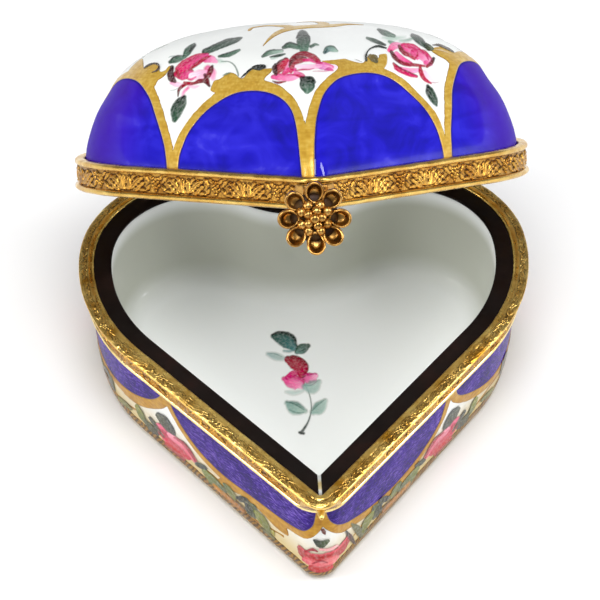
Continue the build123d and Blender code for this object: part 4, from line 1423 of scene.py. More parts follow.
# ---------------------------------------------------------------------------
# The hand painting as brush strokes, drawn in mm on a board square to the
# front view: path, widths, colours at both ends, coverage, side colour,
# fading, softness. It is cast on to the glaze further down.
# ---------------------------------------------------------------------------
PAINT = {
    'tip': [
        ([(-4.66, 34.74), (-4.03, 34.87)], [0.5, 0.5], (178, 198, 186), (178, 198, 186), 0.55, None, 0.5, 0.14),
        ([(-5.84, 34.93), (-4.91, 35.43), (-3.41, 35.62)], [0.38, 0.75, 0.5], (62, 98, 78), (178, 198, 186), 0.95, (30, 50, 38), 0.2, 0.14),
        ([(-4.91, 34.87), (-3.78, 35.05), (-3.03, 35.24)], [0.19, 0.44, 0.25], (30, 50, 38), (62, 98, 78), 0.95, None, 0.0, 0.14),
        ([(-3.22, 36.05), (-2.41, 36.37), (-1.47, 36.12)], [0.5, 0.88, 0.75], (62, 98, 78), (112, 140, 124), 0.95, (30, 50, 38), 0.0, 0.14),
        ([(0.22, 36.18), (0.72, 36.43), (1.16, 36.37)], [0.5, 0.44, 0.25], (62, 98, 78), (112, 140, 124), 0.9, None, 0.0, 0.14),
        ([(-0.78, 37.55), (-0.72, 36.74), (-0.66, 35.87)], [1.5, 1.81, 1.25], (30, 50, 38), (112, 140, 124), 0.97, None, 0.0, 0.2),
        ([(-1.59, 37.24), (-1.34, 37.55), (-0.66, 37.64), (-0.03, 37.43), (0.1, 36.87)], [0.25, 0.35, 0.28, 0.31, 0.19], (20, 26, 14), (30, 50, 38), 0.9, None, 0.0, 0.14),
        ([(-1.03, 36.99), (-0.91, 35.99)], [0.14, 0.14], (20, 26, 14), (30, 50, 38), 0.6, None, 0.0, 0.14),
        ([(-0.41, 37.12), (-0.41, 36.12)], [0.13, 0.13], (20, 26, 14), (30, 50, 38), 0.5, None, 0.0, 0.14),
        ([(1.91, 35.43), (2.35, 35.87), (2.85, 35.9), (3.47, 35.62)], [0.5, 0.88, 0.88, 0.38], (92, 124, 128), (178, 198, 186), 0.92, (62, 98, 78), 0.0, 0.14),
        ([(1.97, 35.37), (2.22, 35.8)], [0.23, 0.23], (30, 50, 38), (30, 50, 38), 0.8, None, 0.0, 0.14),
        ([(2.85, 33.55), (3.6, 33.62), (4.35, 33.43)], [0.75, 0.63, 0.38], (236, 206, 224), (246, 236, 242), 0.7, None, 0.5, 0.35),
        ([(1.1, 33.8), (1.85, 33.74), (2.72, 33.55)], [0.75, 1.13, 0.75], (205, 120, 185), (240, 188, 212), 0.95, (216, 104, 158), 0.0, 0.14),
        ([(1.97, 33.24), (2.47, 33.33), (2.97, 33.18)], [0.25, 0.56, 0.25], (184, 66, 140), (216, 104, 158), 0.9, None, 0.0, 0.14),
        ([(-4.53, 32.37), (-3.53, 32.37), (-2.41, 32.3), (-1.41, 32.49)], [0.63, 1.0, 1.0, 0.63], (216, 104, 158), (240, 188, 212), 0.95, (200, 70, 134), 0.0, 0.14),
        ([(-1.66, 32.8), (-0.91, 32.49), (-0.53, 32.11)], [0.75, 0.75, 0.38], (226, 138, 180), (190, 26, 104), 0.9, None, 0.0, 0.14),
        ([(-2.03, 32.62), (-1.41, 32.55), (-0.91, 32.3), (-0.53, 31.99)], [0.19, 0.38, 0.31, 0.15], (190, 26, 104), (160, 6, 66), 0.95, None, 0.0, 0.14),
        ([(-1.66, 33.68), (-0.41, 33.62), (0.85, 33.68), (1.47, 33.74)], [0.5, 0.63, 0.63, 0.38], (248, 226, 236), (240, 188, 212), 0.95, None, 0.0, 0.14),
        ([(-3.16, 32.87), (-2.53, 33.24), (-1.78, 33.3)], [0.63, 0.75, 0.5], (206, 58, 122), (216, 104, 158), 0.95, None, 0.0, 0.14),
        ([(-3.97, 33.12), (-3.53, 33.74), (-2.91, 34.43)], [0.88, 1.38, 0.88], (160, 6, 66), (196, 30, 96), 0.98, (92, 2, 36), 0.0, 0.14),
        ([(-3.16, 32.93), (-2.78, 33.62), (-2.41, 34.49)], [0.25, 0.38, 0.25], (216, 104, 158), (240, 188, 212), 0.95, None, 0.0, 0.14),
        ([(-4.22, 33.93), (-4.31, 33.37), (-4.16, 32.74)], [0.38, 0.81, 0.5], (64, 0, 24), (92, 2, 36), 1, None, 0.0, 0.14),
        ([(-2.28, 33.74), (-1.97, 34.24), (-1.28, 34.49), (-0.53, 34.62)], [0.63, 1.0, 1.0, 0.63], (176, 14, 80), (160, 6, 66), 0.98, (92, 2, 36), 0.0, 0.14),
        ([(-2.41, 33.87), (-2.16, 34.49), (-1.47, 35.05), (-0.53, 35.24), (0.47, 34.87), (1.22, 34.37)], [0.38, 0.69, 0.75, 0.75, 0.81, 0.5], (92, 2, 36), (182, 18, 84), 1, (160, 6, 66), 0.0, 0.14),
        ([(-0.66, 34.43), (0.1, 34.49), (0.85, 34.18)], [0.5, 0.5, 0.38], (206, 70, 130), (216, 104, 158), 0.9, None, 0.0, 0.14),
        ([(-2.28, 32.99), (-2.09, 33.55), (-1.91, 33.99)], [0.5, 0.56, 0.38], (196, 44, 108), (160, 6, 66), 0.9, None, 0.0, 0.14),
        ([(-1.66, 33.18), (-0.78, 33.29), (-0.03, 33.29), (0.6, 33.44)], [0.2, 0.28, 0.23, 0.13], (190, 26, 104), (206, 70, 140), 0.95, None, 0.0, 0.14),
        ([(0.47, 33.08), (1.35, 33.09), (2.22, 33.04)], [0.11, 0.19, 0.13], (188, 56, 126), (216, 104, 158), 0.8, None, 0.0, 0.14),
        ([(0.6, 34.49), (1.1, 34.24), (1.6, 34.12)], [0.38, 0.44, 0.25], (160, 6, 66), (205, 80, 140), 0.95, None, 0.0, 0.14),
        ([(-4.59, 31.86), (-3.91, 31.66), (-2.91, 31.8)], [0.18, 0.4, 0.19], (92, 2, 36), (160, 6, 66), 0.95, None, 0.0, 0.14),
        ([(-3.53, 34.12), (-3.16, 34.43)], [0.15, 0.15], (222, 90, 140), (222, 90, 140), 0.6, None, 0.0, 0.14),
        ([(-0.91, 32.18), (-0.41, 32.05), (0.22, 32.11), (0.66, 31.74)], [0.63, 0.88, 0.75, 0.5], (20, 26, 14), (30, 50, 38), 0.98, None, 0.0, 0.14),
        ([(-0.97, 31.99), (-0.91, 31.24), (-0.47, 30.49)], [0.38, 0.63, 0.38], (30, 50, 38), (62, 98, 78), 0.97, None, 0.0, 0.14),
        ([(0.41, 31.86), (0.35, 31.11), (-0.16, 30.43)], [0.5, 0.75, 0.38], (30, 50, 38), (112, 140, 124), 0.97, None, 0.0, 0.14),
        ([(-0.28, 31.99), (-0.28, 31.24), (-0.28, 30.55)], [1.0, 1.13, 0.75], (30, 50, 38), (112, 140, 124), 0.9, None, 0.0, 0.14),
    ],
    'left': [
        ([(-11.91, 34.49), (-11.16, 34.37), (-10.47, 34.24)], [0.38, 0.63, 0.38], (178, 198, 186), (178, 198, 186), 0.5, None, 0.4, 0.3),
        ([(-13.04, 35.49), (-11.91, 35.99), (-10.41, 36.62), (-9.16, 36.99), (-8.41, 37.3)], [0.88, 0.94, 1.0, 0.75, 0.25], (62, 98, 78), (40, 66, 50), 0.96, (30, 50, 38), 0.0, 0.14),
        ([(-11.28, 34.93), (-10.03, 35.18), (-8.72, 35.74)], [0.38, 0.69, 0.38], (62, 98, 78), (112, 140, 124), 0.95, (30, 50, 38), 0.0, 0.14),
        ([(-15.6, 34.87), (-15.16, 35.62), (-14.41, 36.37)], [0.5, 1.0, 0.63], (112, 140, 124), (30, 50, 38), 0.95, (62, 98, 78), 0.0, 0.14),
        ([(-14.91, 35.62), (-14.41, 36.24)], [0.38, 0.38], (20, 26, 14), (30, 50, 38), 0.85, None, 0.0, 0.14),
        ([(-17.41, 34.24), (-16.54, 34.62), (-15.6, 34.87)], [0.5, 1.0, 0.5], (62, 98, 78), (112, 140, 124), 0.94, (30, 50, 38), 0.0, 0.14),
        ([(-18.66, 34.68), (-17.66, 34.87), (-16.79, 35.02)], [0.18, 0.2, 0.15], (140, 164, 158), (140, 164, 158), 0.7, None, 0.0, 0.14),
        ([(-10.97, 34.3), (-10.03, 34.27), (-9.35, 33.8), (-8.91, 32.87), (-8.91, 32.24)], [0.15, 0.2, 0.24, 0.28, 0.18], (112, 140, 124), (96, 118, 106), 0.85, None, 0.0, 0.14),
        ([(-13.04, 34.49), (-12.28, 34.62), (-11.6, 34.3)], [0.75, 1.0, 0.5], (216, 104, 158), (240, 188, 212), 0.92, None, 0.0, 0.14),
        ([(-12.66, 33.37), (-12.16, 32.99), (-12.03, 32.24)], [1.13, 1.13, 0.75], (216, 104, 158), (240, 188, 212), 0.85, None, 0.0, 0.3),
        ([(-16.54, 32.74), (-15.79, 32.62), (-14.79, 32.99)], [1.0, 1.38, 0.88], (190, 26, 104), (216, 104, 158), 0.95, (160, 6, 66), 0.0, 0.14),
        ([(-14.66, 32.49), (-13.79, 32.62), (-12.91, 32.87)], [1.0, 1.38, 0.88], (250, 232, 240), (240, 188, 212), 0.95, None, 0.0, 0.14),
        ([(-17.29, 31.61), (-16.54, 31.43), (-15.66, 31.36)], [0.38, 0.69, 0.38], (240, 188, 212), (248, 224, 234), 0.9, None, 0.0, 0.14),
        ([(-16.29, 33.3), (-15.41, 33.87), (-14.29, 34.43), (-12.78, 35.12)], [1.13, 1.5, 1.5, 0.63], (206, 46, 118), (216, 104, 158), 0.98, (190, 26, 104), 0.0, 0.14),
        ([(-14.79, 33.43), (-14.04, 33.99), (-13.16, 34.62), (-12.35, 34.99)], [0.38, 0.56, 0.5, 0.25], (160, 6, 66), (176, 18, 84), 0.95, None, 0.0, 0.14),
        ([(-15.79, 33.74), (-14.91, 34.37), (-13.66, 34.93)], [0.2, 0.25, 0.15], (170, 10, 76), (170, 10, 76), 0.7, None, 0.0, 0.14),
        ([(-17.16, 33.55), (-17.35, 32.99), (-17.22, 32.24), (-16.79, 31.8)], [0.63, 0.94, 1.0, 0.5], (70, 0, 26), (92, 2, 36), 1, None, 0.0, 0.14),
        ([(-16.54, 33.12), (-16.29, 32.49)], [0.5, 0.5], (160, 6, 66), (160, 6, 66), 0.95, None, 0.0, 0.14),
        ([(-12.1, 33.74), (-12.35, 33.12), (-12.72, 32.37), (-13.16, 31.99)], [0.38, 0.75, 0.63, 0.38], (92, 2, 36), (160, 6, 66), 1, None, 0.0, 0.14),
        ([(-13.04, 32.62), (-12.78, 31.99), (-12.53, 31.36)], [0.5, 0.63, 0.38], (92, 2, 36), (140, 4, 56), 0.97, None, 0.0, 0.14),
        ([(-15.6, 31.68), (-15.04, 31.55), (-14.35, 31.59), (-13.66, 31.86), (-13.04, 31.8), (-12.47, 31.24)], [0.38, 0.56, 0.44, 0.63, 0.56, 0.38], (176, 14, 76), (92, 2, 36), 1, None, 0.0, 0.14),
        ([(-15.41, 32.24), (-14.79, 32.05), (-14.16, 32.37)], [0.25, 0.38, 0.25], (196, 40, 106), (216, 104, 158), 0.8, None, 0.0, 0.14),
        ([(-15.04, 31.24), (-14.41, 31.11), (-13.79, 31.24)], [0.38, 0.5, 0.25], (240, 188, 212), (240, 188, 212), 0.8, None, 0.0, 0.3),
        ([(-15.41, 31.49), (-15.91, 31.18), (-16.29, 30.74), (-16.41, 29.93)], [0.5, 0.5, 0.44, 0.19], (160, 6, 66), (92, 2, 36), 1, None, 0.0, 0.14),
        ([(-15.16, 30.99), (-15.66, 30.49), (-15.91, 29.86)], [0.5, 0.5, 0.25], (216, 104, 158), (240, 188, 212), 0.8, None, 0.0, 0.25),
        ([(-17.35, 30.7), (-16.91, 30.74), (-16.47, 30.94)], [0.13, 0.16, 0.13], (150, 150, 160), (150, 150, 160), 0.7, None, 0.0, 0.14),
        ([(-15.6, 29.86), (-16.04, 29.11), (-16.54, 28.24), (-16.85, 26.99)], [0.63, 1.5, 1.63, 0.75], (20, 26, 14), (62, 98, 78), 0.98, (86, 110, 92), 0.0, 0.2),
        ([(-15.79, 29.61), (-16.41, 28.49), (-16.79, 27.36)], [0.25, 0.25, 0.18], (120, 140, 124), (120, 140, 124), 0.55, None, 0.0, 0.14),
    ],
    'right': [
        ([(9.22, 37.3), (10.47, 37.18), (11.97, 37.37)], [0.38, 0.75, 0.38], (178, 198, 186), (178, 198, 186), 0.6, None, 0.3, 0.35),
        ([(7.22, 37.24), (8.22, 36.87), (9.47, 36.37)], [0.38, 0.6, 0.38], (62, 98, 78), (30, 50, 38), 0.95, None, 0.0, 0.14),
        ([(8.6, 38.3), (9.47, 37.87), (10.6, 37.49)], [0.38, 0.81, 0.5], (30, 50, 38), (112, 140, 124), 0.95, (62, 98, 78), 0.0, 0.14),
        ([(12.91, 37.55), (13.73, 36.99), (14.6, 36.12)], [0.63, 1.0, 0.5], (30, 50, 38), (62, 98, 78), 0.96, (20, 26, 14), 0.0, 0.14),
        ([(11.35, 36.87), (12.35, 36.99), (12.98, 37.24)], [0.38, 0.5, 0.38], (178, 198, 186), (112, 140, 124), 0.7, None, 0.0, 0.25),
        ([(9.97, 36.8), (10.6, 36.49), (11.1, 36.12)], [0.38, 0.63, 0.38], (112, 140, 124), (178, 198, 186), 0.8, None, 0.0, 0.14),
        ([(10.1, 35.74), (10.6, 36.24), (11.47, 36.37)], [0.75, 1.0, 0.63], (226, 110, 160), (240, 188, 212), 0.95, None, 0.0, 0.14),
        ([(11.85, 36.12), (12.85, 35.87), (13.6, 35.74)], [1.13, 1.38, 0.75], (220, 96, 152), (240, 188, 212), 0.95, (198, 50, 112), 0.0, 0.14),
        ([(10.85, 35.24), (11.6, 34.49), (12.6, 33.99)], [0.75, 1.0, 0.75], (234, 150, 186), (216, 90, 146), 0.95, None, 0.0, 0.14),
        ([(13.23, 35.37), (14.1, 34.99), (14.98, 34.49)], [1.25, 1.63, 1.0], (214, 84, 146), (240, 188, 212), 0.95, (190, 26, 104), 0.0, 0.14),
        ([(13.73, 34.37), (14.1, 34.12)], [0.5, 0.5], (254, 244, 248), (254, 244, 248), 0.95, None, 0.0, 0.14),
        ([(14.6, 34.12), (15.23, 33.93)], [0.75, 0.5], (216, 104, 158), (240, 188, 212), 0.9, None, 0.0, 0.14),
        ([(10.22, 35.55), (10.6, 34.93), (11.16, 34.37), (11.97, 33.99), (13.23, 33.87), (14.41, 33.72)], [0.44, 0.63, 0.56, 0.56, 0.5, 0.31], (92, 2, 36), (176, 14, 80), 1, None, 0.0, 0.14),
        ([(11.22, 36.24), (11.54, 35.74), (11.97, 35.3), (12.54, 35.05), (13.16, 34.62)], [0.44, 0.63, 0.63, 0.56, 0.38], (120, 0, 46), (190, 30, 96), 1, None, 0.0, 0.14),
        ([(13.1, 34.62), (13.48, 34.99), (13.54, 35.49)], [0.23, 0.3, 0.15], (182, 20, 88), (182, 20, 88), 0.95, None, 0.0, 0.14),
        ([(11.97, 36.24), (12.6, 36.05), (13.23, 36.05)], [0.25, 0.33, 0.19], (196, 44, 106), (196, 44, 106), 0.85, None, 0.0, 0.14),
        ([(13.98, 35.62), (14.6, 35.12), (14.91, 34.49)], [0.25, 0.33, 0.25], (196, 50, 118), (196, 50, 118), 0.85, None, 0.0, 0.14),
        ([(15.54, 34.68), (15.29, 34.18), (14.73, 33.68)], [0.44, 0.56, 0.44], (70, 0, 30), (160, 6, 66), 1, None, 0.0, 0.14),
        ([(10.85, 33.49), (11.72, 33.18), (12.85, 33.12), (13.73, 33.24)], [0.63, 0.88, 0.75, 0.5], (230, 130, 174), (240, 188, 212), 0.92, None, 0.0, 0.14),
        ([(10.54, 34.05), (11.16, 33.37), (12.29, 32.8), (13.41, 32.43)], [0.38, 0.69, 0.69, 0.44], (180, 16, 84), (204, 60, 126), 1, (92, 2, 36), 0.0, 0.14),
        ([(14.35, 32.99), (14.85, 32.37), (15.48, 31.86)], [0.63, 0.75, 0.5], (244, 206, 222), (250, 236, 242), 0.85, None, 0.0, 0.3),
        ([(13.85, 33.74), (13.98, 32.87), (14.41, 32.11), (15.23, 31.55)], [0.38, 0.63, 0.56, 0.25], (170, 8, 76), (190, 40, 100), 1, None, 0.0, 0.14),
        ([(15.23, 31.7), (15.73, 31.64), (16.16, 31.74)], [0.13, 0.16, 0.13], (170, 60, 110), (170, 60, 110), 0.8, None, 0.0, 0.14),
        ([(14.79, 31.24), (15.1, 30.49), (15.48, 29.74), (15.91, 28.8)], [0.5, 1.19, 1.13, 0.38], (20, 26, 14), (62, 98, 78), 0.98, (72, 98, 80), 0.0, 0.18),
        ([(15.1, 30.74), (15.6, 29.74)], [0.2, 0.18], (120, 142, 126), (120, 142, 126), 0.55, None, 0.0, 0.14),
    ],
    'crownL': [
        ([(-8.47, 32.24), (-7.91, 32.74), (-7.28, 33.27), (-6.66, 33.55)], [0.2, 0.3, 0.35, 0.38], (20, 26, 14), (34, 34, 14), 1, None, 0.0, 0.14),
        ([(-6.66, 33.49), (-6.16, 33.49), (-5.59, 33.62)], [0.69, 0.81, 0.56], (30, 50, 38), (20, 26, 14), 1, None, 0.0, 0.14),
        ([(-7.03, 33.55), (-6.41, 33.72), (-5.66, 33.74)], [0.25, 0.3, 0.25], (20, 26, 14), (20, 26, 14), 1, None, 0.0, 0.14),
        ([(-10.78, 32.49), (-10.16, 32.74), (-9.66, 32.87)], [0.38, 0.5, 0.25], (140, 150, 132), (140, 150, 132), 0.55, None, 0.0, 0.3),
    ],
    'crownF': [
        ([(-20.6, 33.43), (-20.04, 33.8), (-19.41, 34.02), (-18.85, 33.93), (-18.72, 33.55), (-19.04, 33.12), (-19.66, 32.87)], [0.23, 0.33, 0.28, 0.33, 0.35, 0.33, 0.15], (70, 56, 16), (90, 60, 14), 0.95, None, 0.0, 0.14),
    ],
    'crownR': [
        ([(7.1, 34.37), (7.04, 34.99), (7.35, 35.62), (7.85, 35.97), (8.6, 36.17), (9.6, 35.92)], [0.38, 0.38, 0.28, 0.28, 0.35, 0.23], (34, 44, 20), (24, 50, 38), 0.98, None, 0.0, 0.14),
        ([(7.6, 34.87), (8.04, 34.62), (8.35, 34.24)], [0.75, 1.13, 0.63], (128, 112, 40), (104, 96, 36), 0.85, None, 0.0, 0.25),
        ([(5.35, 34.62), (6.1, 34.37), (6.72, 34.12)], [0.1, 0.2, 0.15], (110, 90, 50), (110, 90, 50), 0.6, None, 0.0, 0.14),
    ],
    'crownG': [
        ([(14.54, 36.37), (14.91, 35.99), (15.35, 35.8)], [0.5, 0.81, 0.5], (60, 72, 50), (96, 104, 70), 0.95, None, 0.0, 0.14),
        ([(15.35, 36.3), (16.1, 36.33), (16.73, 36.09), (17.48, 35.74), (18.1, 35.37)], [0.18, 0.33, 0.35, 0.35, 0.15], (92, 70, 30), (70, 50, 22), 0.9, None, 0.0, 0.14),
        ([(15.48, 35.74), (16.48, 35.62), (17.48, 35.24)], [0.15, 0.25, 0.13], (236, 220, 190), (236, 220, 190), 0.6, None, 0.0, 0.14),
    ],
    'scroll': [
        ([(-5.53, 36.55), (-4.66, 37.37), (-3.66, 38.05), (-2.53, 38.43), (-0.78, 38.62), (2.6, 38.84)], [0.2, 0.43, 0.65, 0.58, 0.43, 0.23], (186, 138, 40), (204, 164, 70), 1, None, 0.0, 0.14),
        ([(-4.16, 38.55), (-3.16, 38.59), (-2.16, 38.74)], [0.3, 0.43, 0.3], (196, 152, 56), (196, 152, 56), 1, None, 0.0, 0.14),
    ],
    'bT': [
        ([(0.6, -25.47), (1.47, -26.03), (2.35, -25.53)], [0.38, 1.0, 0.5], (30, 50, 38), (92, 104, 60), 0.95, None, 0.0, 0.14),
        ([(-1.28, -26.28), (-0.66, -27.16), (0.47, -27.6), (1.85, -27.6), (3.6, -26.91), (5.1, -24.91)], [0.5, 1.0, 1.0, 1.0, 1.0, 0.5], (168, 40, 40), (176, 52, 60), 0.95, (208, 96, 110), 0.0, 0.14),
        ([(-0.41, -27.78), (0.85, -28.28), (2.35, -28.03), (3.35, -27.53)], [1.0, 1.38, 1.38, 0.75], (206, 110, 120), (224, 150, 150), 0.95, (168, 40, 40), 0.0, 0.14),
        ([(0.22, -28.91), (1.47, -29.28), (2.72, -28.78)], [0.75, 1.0, 0.63], (178, 40, 48), (196, 84, 84), 0.95, None, 0.0, 0.14),
        ([(1.35, -26.66), (2.47, -26.66), (3.47, -26.16)], [0.38, 0.5, 0.38], (236, 190, 190), (236, 190, 190), 0.9, None, 0.0, 0.14),
        ([(-0.53, -26.91), (0.35, -26.66), (1.1, -26.91)], [0.38, 0.5, 0.25], (160, 26, 60), (160, 26, 60), 0.95, None, 0.0, 0.14),
        ([(0.47, -28.41), (1.35, -28.03), (2.22, -28.28)], [0.25, 0.33, 0.2], (150, 20, 50), (150, 20, 50), 0.9, None, 0.0, 0.14),
        ([(1.6, -23.91), (1.78, -24.41), (1.97, -24.78)], [0.38, 0.63, 0.25], (120, 58, 18), (120, 58, 18), 0.95, None, 0.0, 0.14),
        ([(5.35, -23.53), (6.1, -24.28), (6.85, -25.53)], [0.5, 1.13, 0.5], (126, 126, 90), (96, 92, 60), 0.92, None, 0.0, 0.14),
        ([(4.6, -24.41), (5.1, -25.16), (5.6, -25.91)], [0.38, 0.75, 0.38], (60, 44, 22), (100, 70, 40), 0.92, None, 0.0, 0.14),
    ],
    'bL': [
        ([(-18.91, -9.78), (-18.16, -10.53), (-17.41, -11.53), (-16.79, -12.28)], [0.63, 1.13, 1.0, 0.38], (86, 92, 70), (52, 54, 36), 0.95, (30, 50, 38), 0.0, 0.14),
        ([(-21.54, -8.65), (-21.04, -9.65), (-20.54, -10.53)], [0.5, 0.75, 0.5], (150, 150, 66), (108, 118, 60), 0.9, None, 0.0, 0.14),
        ([(-20.41, -10.65), (-19.66, -11.53), (-18.79, -12.28)], [0.5, 0.75, 0.5], (92, 98, 52), (70, 62, 30), 0.9, None, 0.0, 0.14),
        ([(-18.91, -11.03), (-18.16, -12.03), (-17.41, -12.78)], [0.63, 1.0, 0.88], (222, 120, 150), (200, 60, 110), 0.9, None, 0.0, 0.3),
        ([(-18.54, -11.9), (-17.41, -13.03), (-16.16, -14.15), (-14.91, -15.28)], [0.63, 1.13, 1.25, 0.63], (206, 84, 112), (190, 52, 78), 0.97, (160, 30, 50), 0.0, 0.14),
        ([(-17.54, -12.28), (-16.41, -13.15), (-15.29, -14.15), (-14.16, -15.65)], [0.63, 0.75, 0.75, 0.5], (236, 176, 190), (220, 120, 140), 0.95, None, 0.0, 0.14),
        ([(-17.79, -13.53), (-16.79, -14.53), (-15.66, -15.4)], [0.75, 1.13, 0.63], (176, 44, 36), (150, 30, 24), 0.95, (196, 60, 60), 0.0, 0.14),
        ([(-16.79, -12.65), (-15.66, -13.4), (-14.79, -14.53), (-14.16, -15.65)], [0.25, 0.43, 0.4, 0.25], (168, 40, 66), (150, 30, 50), 0.95, None, 0.0, 0.14),
        ([(-18.29, -11.78), (-17.66, -12.53)], [0.38, 0.38], (180, 30, 86), (180, 30, 86), 0.9, None, 0.0, 0.14),
        ([(-14.04, -15.9), (-13.41, -16.28), (-12.78, -16.59)], [0.5, 0.69, 0.38], (64, 76, 48), (30, 50, 38), 0.95, None, 0.0, 0.14),
        ([(-8.66, -20.22), (-8.03, -20.34), (-7.53, -20.72)], [0.38, 0.56, 0.38], (58, 56, 30), (58, 56, 30), 0.9, None, 0.0, 0.14),
        ([(-7.41, -21.03), (-6.91, -21.41), (-6.53, -22.03)], [0.5, 0.75, 0.38], (96, 112, 78), (60, 72, 46), 0.9, None, 0.0, 0.14),
        ([(-9.16, -20.53), (-8.16, -21.41), (-6.91, -22.41), (-5.41, -23.16)], [0.19, 0.31, 0.31, 0.19], (120, 96, 44), (120, 96, 44), 0.85, None, 0.0, 0.14),
        ([(-11.41, -19.03), (-10.41, -19.78), (-9.28, -20.41)], [0.13, 0.23, 0.13], (110, 90, 50), (110, 90, 50), 0.7, None, 0.0, 0.14),
        ([(-23.91, -7.53), (-23.16, -8.28), (-22.16, -9.15)], [0.31, 0.56, 0.38], (150, 146, 58), (120, 118, 50), 0.95, None, 0.0, 0.14),
        ([(-19.91, -10.15), (-19.16, -11.15), (-18.04, -12.65)], [0.38, 0.5, 0.25], (54, 60, 34), (84, 84, 40), 0.95, None, 0.0, 0.14),
        ([(-13.16, -16.78), (-11.91, -18.15), (-10.41, -19.53)], [0.5, 1.0, 0.5], (138, 146, 84), (96, 104, 60), 0.92, None, 0.0, 0.14),
        ([(-10.66, -18.4), (-9.91, -19.28), (-9.16, -20.28)], [0.38, 0.75, 0.5], (104, 116, 70), (140, 140, 84), 0.92, None, 0.0, 0.14),
        ([(-8.91, -20.16), (-8.41, -20.34), (-7.78, -20.72)], [0.5, 0.88, 0.5], (30, 32, 18), (60, 60, 30), 1, None, 0.0, 0.14),
        ([(-7.78, -20.91), (-7.28, -21.66), (-6.66, -22.66)], [0.63, 1.25, 0.5], (34, 44, 30), (84, 90, 56), 1, (110, 116, 70), 0.0, 0.14),
        ([(-6.66, -21.91), (-5.78, -23.03), (-4.78, -24.53)], [0.5, 1.0, 0.5], (148, 150, 76), (120, 124, 66), 0.95, None, 0.0, 0.14),
        ([(-4.53, -24.41), (-3.41, -25.28), (-1.91, -26.28)], [0.5, 1.0, 0.5], (176, 168, 96), (128, 126, 84), 0.92, None, 0.0, 0.14),
        ([(-5.91, -24.03), (-4.66, -25.28), (-3.28, -26.53)], [0.38, 0.75, 0.38], (112, 112, 70), (150, 140, 90), 0.9, None, 0.0, 0.14),
        ([(-11.91, -18.53), (-10.16, -20.28), (-8.16, -21.91)], [0.38, 0.75, 0.5], (196, 150, 60), (170, 126, 44), 0.92, None, 0.0, 0.14),
    ],
    'spr': [
        ([(-0.66, -6.02), (-0.09, -7.03), (0.22, -8.28), (0.25, -9.4), (-0.09, -10.65), (-0.59, -11.53), (-1.03, -12.15)], [0.14, 0.16, 0.18, 0.2, 0.25, 0.35, 0.43], (120, 136, 128), (52, 66, 60), 0.95, None, 0.0, 0.14),
        ([(-1.22, -12.09), (-0.72, -12.21)], [0.38, 0.4], (48, 58, 54), (48, 58, 54), 0.9, None, 0.0, 0.14),
        ([(-4.53, -0.09), (-3.66, -0.27), (-2.66, -0.65), (-1.91, -1.4)], [0.66, 1.65, 2.15, 1.15], (70, 104, 96), (96, 140, 140), 0.97, (52, 78, 70), 0.0, 0.2),
        ([(-4.66, 0.1), (-3.91, 0.4), (-3.03, 0.35), (-2.16, -0.02), (-1.66, -0.65)], [0.28, 0.38, 0.38, 0.4, 0.25], (26, 40, 38), (44, 66, 58), 0.97, None, 0.0, 0.14),
        ([(-3.16, -1.9), (-2.28, -1.9), (-1.78, -1.4)], [0.31, 0.38, 0.25], (104, 158, 160), (104, 158, 160), 0.8, None, 0.0, 0.25),
        ([(-1.53, -2.02), (-0.91, -1.65), (-0.16, -1.27)], [0.66, 1.33, 0.66], (126, 158, 150), (70, 98, 88), 0.92, (62, 98, 78), 0.0, 0.14),
        ([(-1.28, -2.02), (-0.53, -1.71)], [0.15, 0.15], (50, 76, 66), (50, 76, 66), 0.7, None, 0.0, 0.14),
        ([(-5.16, -2.27), (-4.16, -2.59), (-3.03, -2.9)], [0.5, 0.99, 0.5], (176, 198, 196), (196, 210, 206), 0.75, None, 0.0, 0.3),
        ([(-5.16, -2.21), (-4.28, -2.27), (-3.41, -2.65)], [0.13, 0.18, 0.13], (130, 152, 146), (130, 152, 146), 0.6, None, 0.0, 0.14),
        ([(-0.41, -5.15), (0.22, -5.34), (0.72, -5.02)], [1.15, 1.81, 0.83], (226, 120, 172), (246, 196, 218), 0.92, (206, 70, 140), 0.0, 0.14),
        ([(-3.16, -5.4), (-2.28, -5.65), (-1.28, -6.02), (-0.91, -6.4)], [0.66, 1.81, 1.81, 0.66], (224, 96, 158), (246, 190, 214), 0.95, (200, 40, 126), 0.0, 0.2),
        ([(-2.78, -5.27), (-2.03, -4.77), (-1.41, -4.65)], [0.6, 0.9, 0.6], (210, 56, 136), (210, 56, 136), 0.92, None, 0.0, 0.14),
        ([(-2.66, -2.96), (-1.91, -3.27), (-1.03, -3.9), (-0.91, -4.77)], [0.99, 1.81, 1.98, 1.15], (166, 10, 74), (186, 20, 92), 0.98, (132, 0, 56), 0.0, 0.14),
        ([(-2.41, -2.84), (-1.53, -2.81), (-0.78, -3.21), (-0.34, -4.02), (-0.41, -4.77)], [0.25, 0.38, 0.43, 0.4, 0.25], (140, 0, 58), (176, 16, 84), 0.98, None, 0.0, 0.14),
        ([(-1.66, -4.52), (-0.78, -4.4), (-0.28, -3.77)], [0.3, 0.38, 0.25], (196, 40, 110), (196, 40, 110), 0.9, None, 0.0, 0.14),
        ([(-0.78, -4.9), (-0.16, -4.84), (0.47, -4.77)], [0.25, 0.38, 0.2], (196, 50, 132), (196, 50, 132), 0.85, None, 0.0, 0.14),
        ([(-0.53, -6.4), (0.35, -6.4), (1.22, -5.77)], [0.99, 1.81, 0.66], (178, 202, 196), (200, 214, 208), 0.85, (140, 168, 158), 0.0, 0.3),
        ([(-0.66, -6.27), (0.22, -6.21), (1.1, -5.65)], [0.1, 0.15, 0.1], (120, 146, 138), (120, 146, 138), 0.65, None, 0.0, 0.14),
        ([(-2.91, -7.03), (-1.91, -7.15), (-0.78, -6.9)], [0.33, 0.66, 0.33], (206, 218, 214), (206, 218, 214), 0.7, None, 0.0, 0.3),
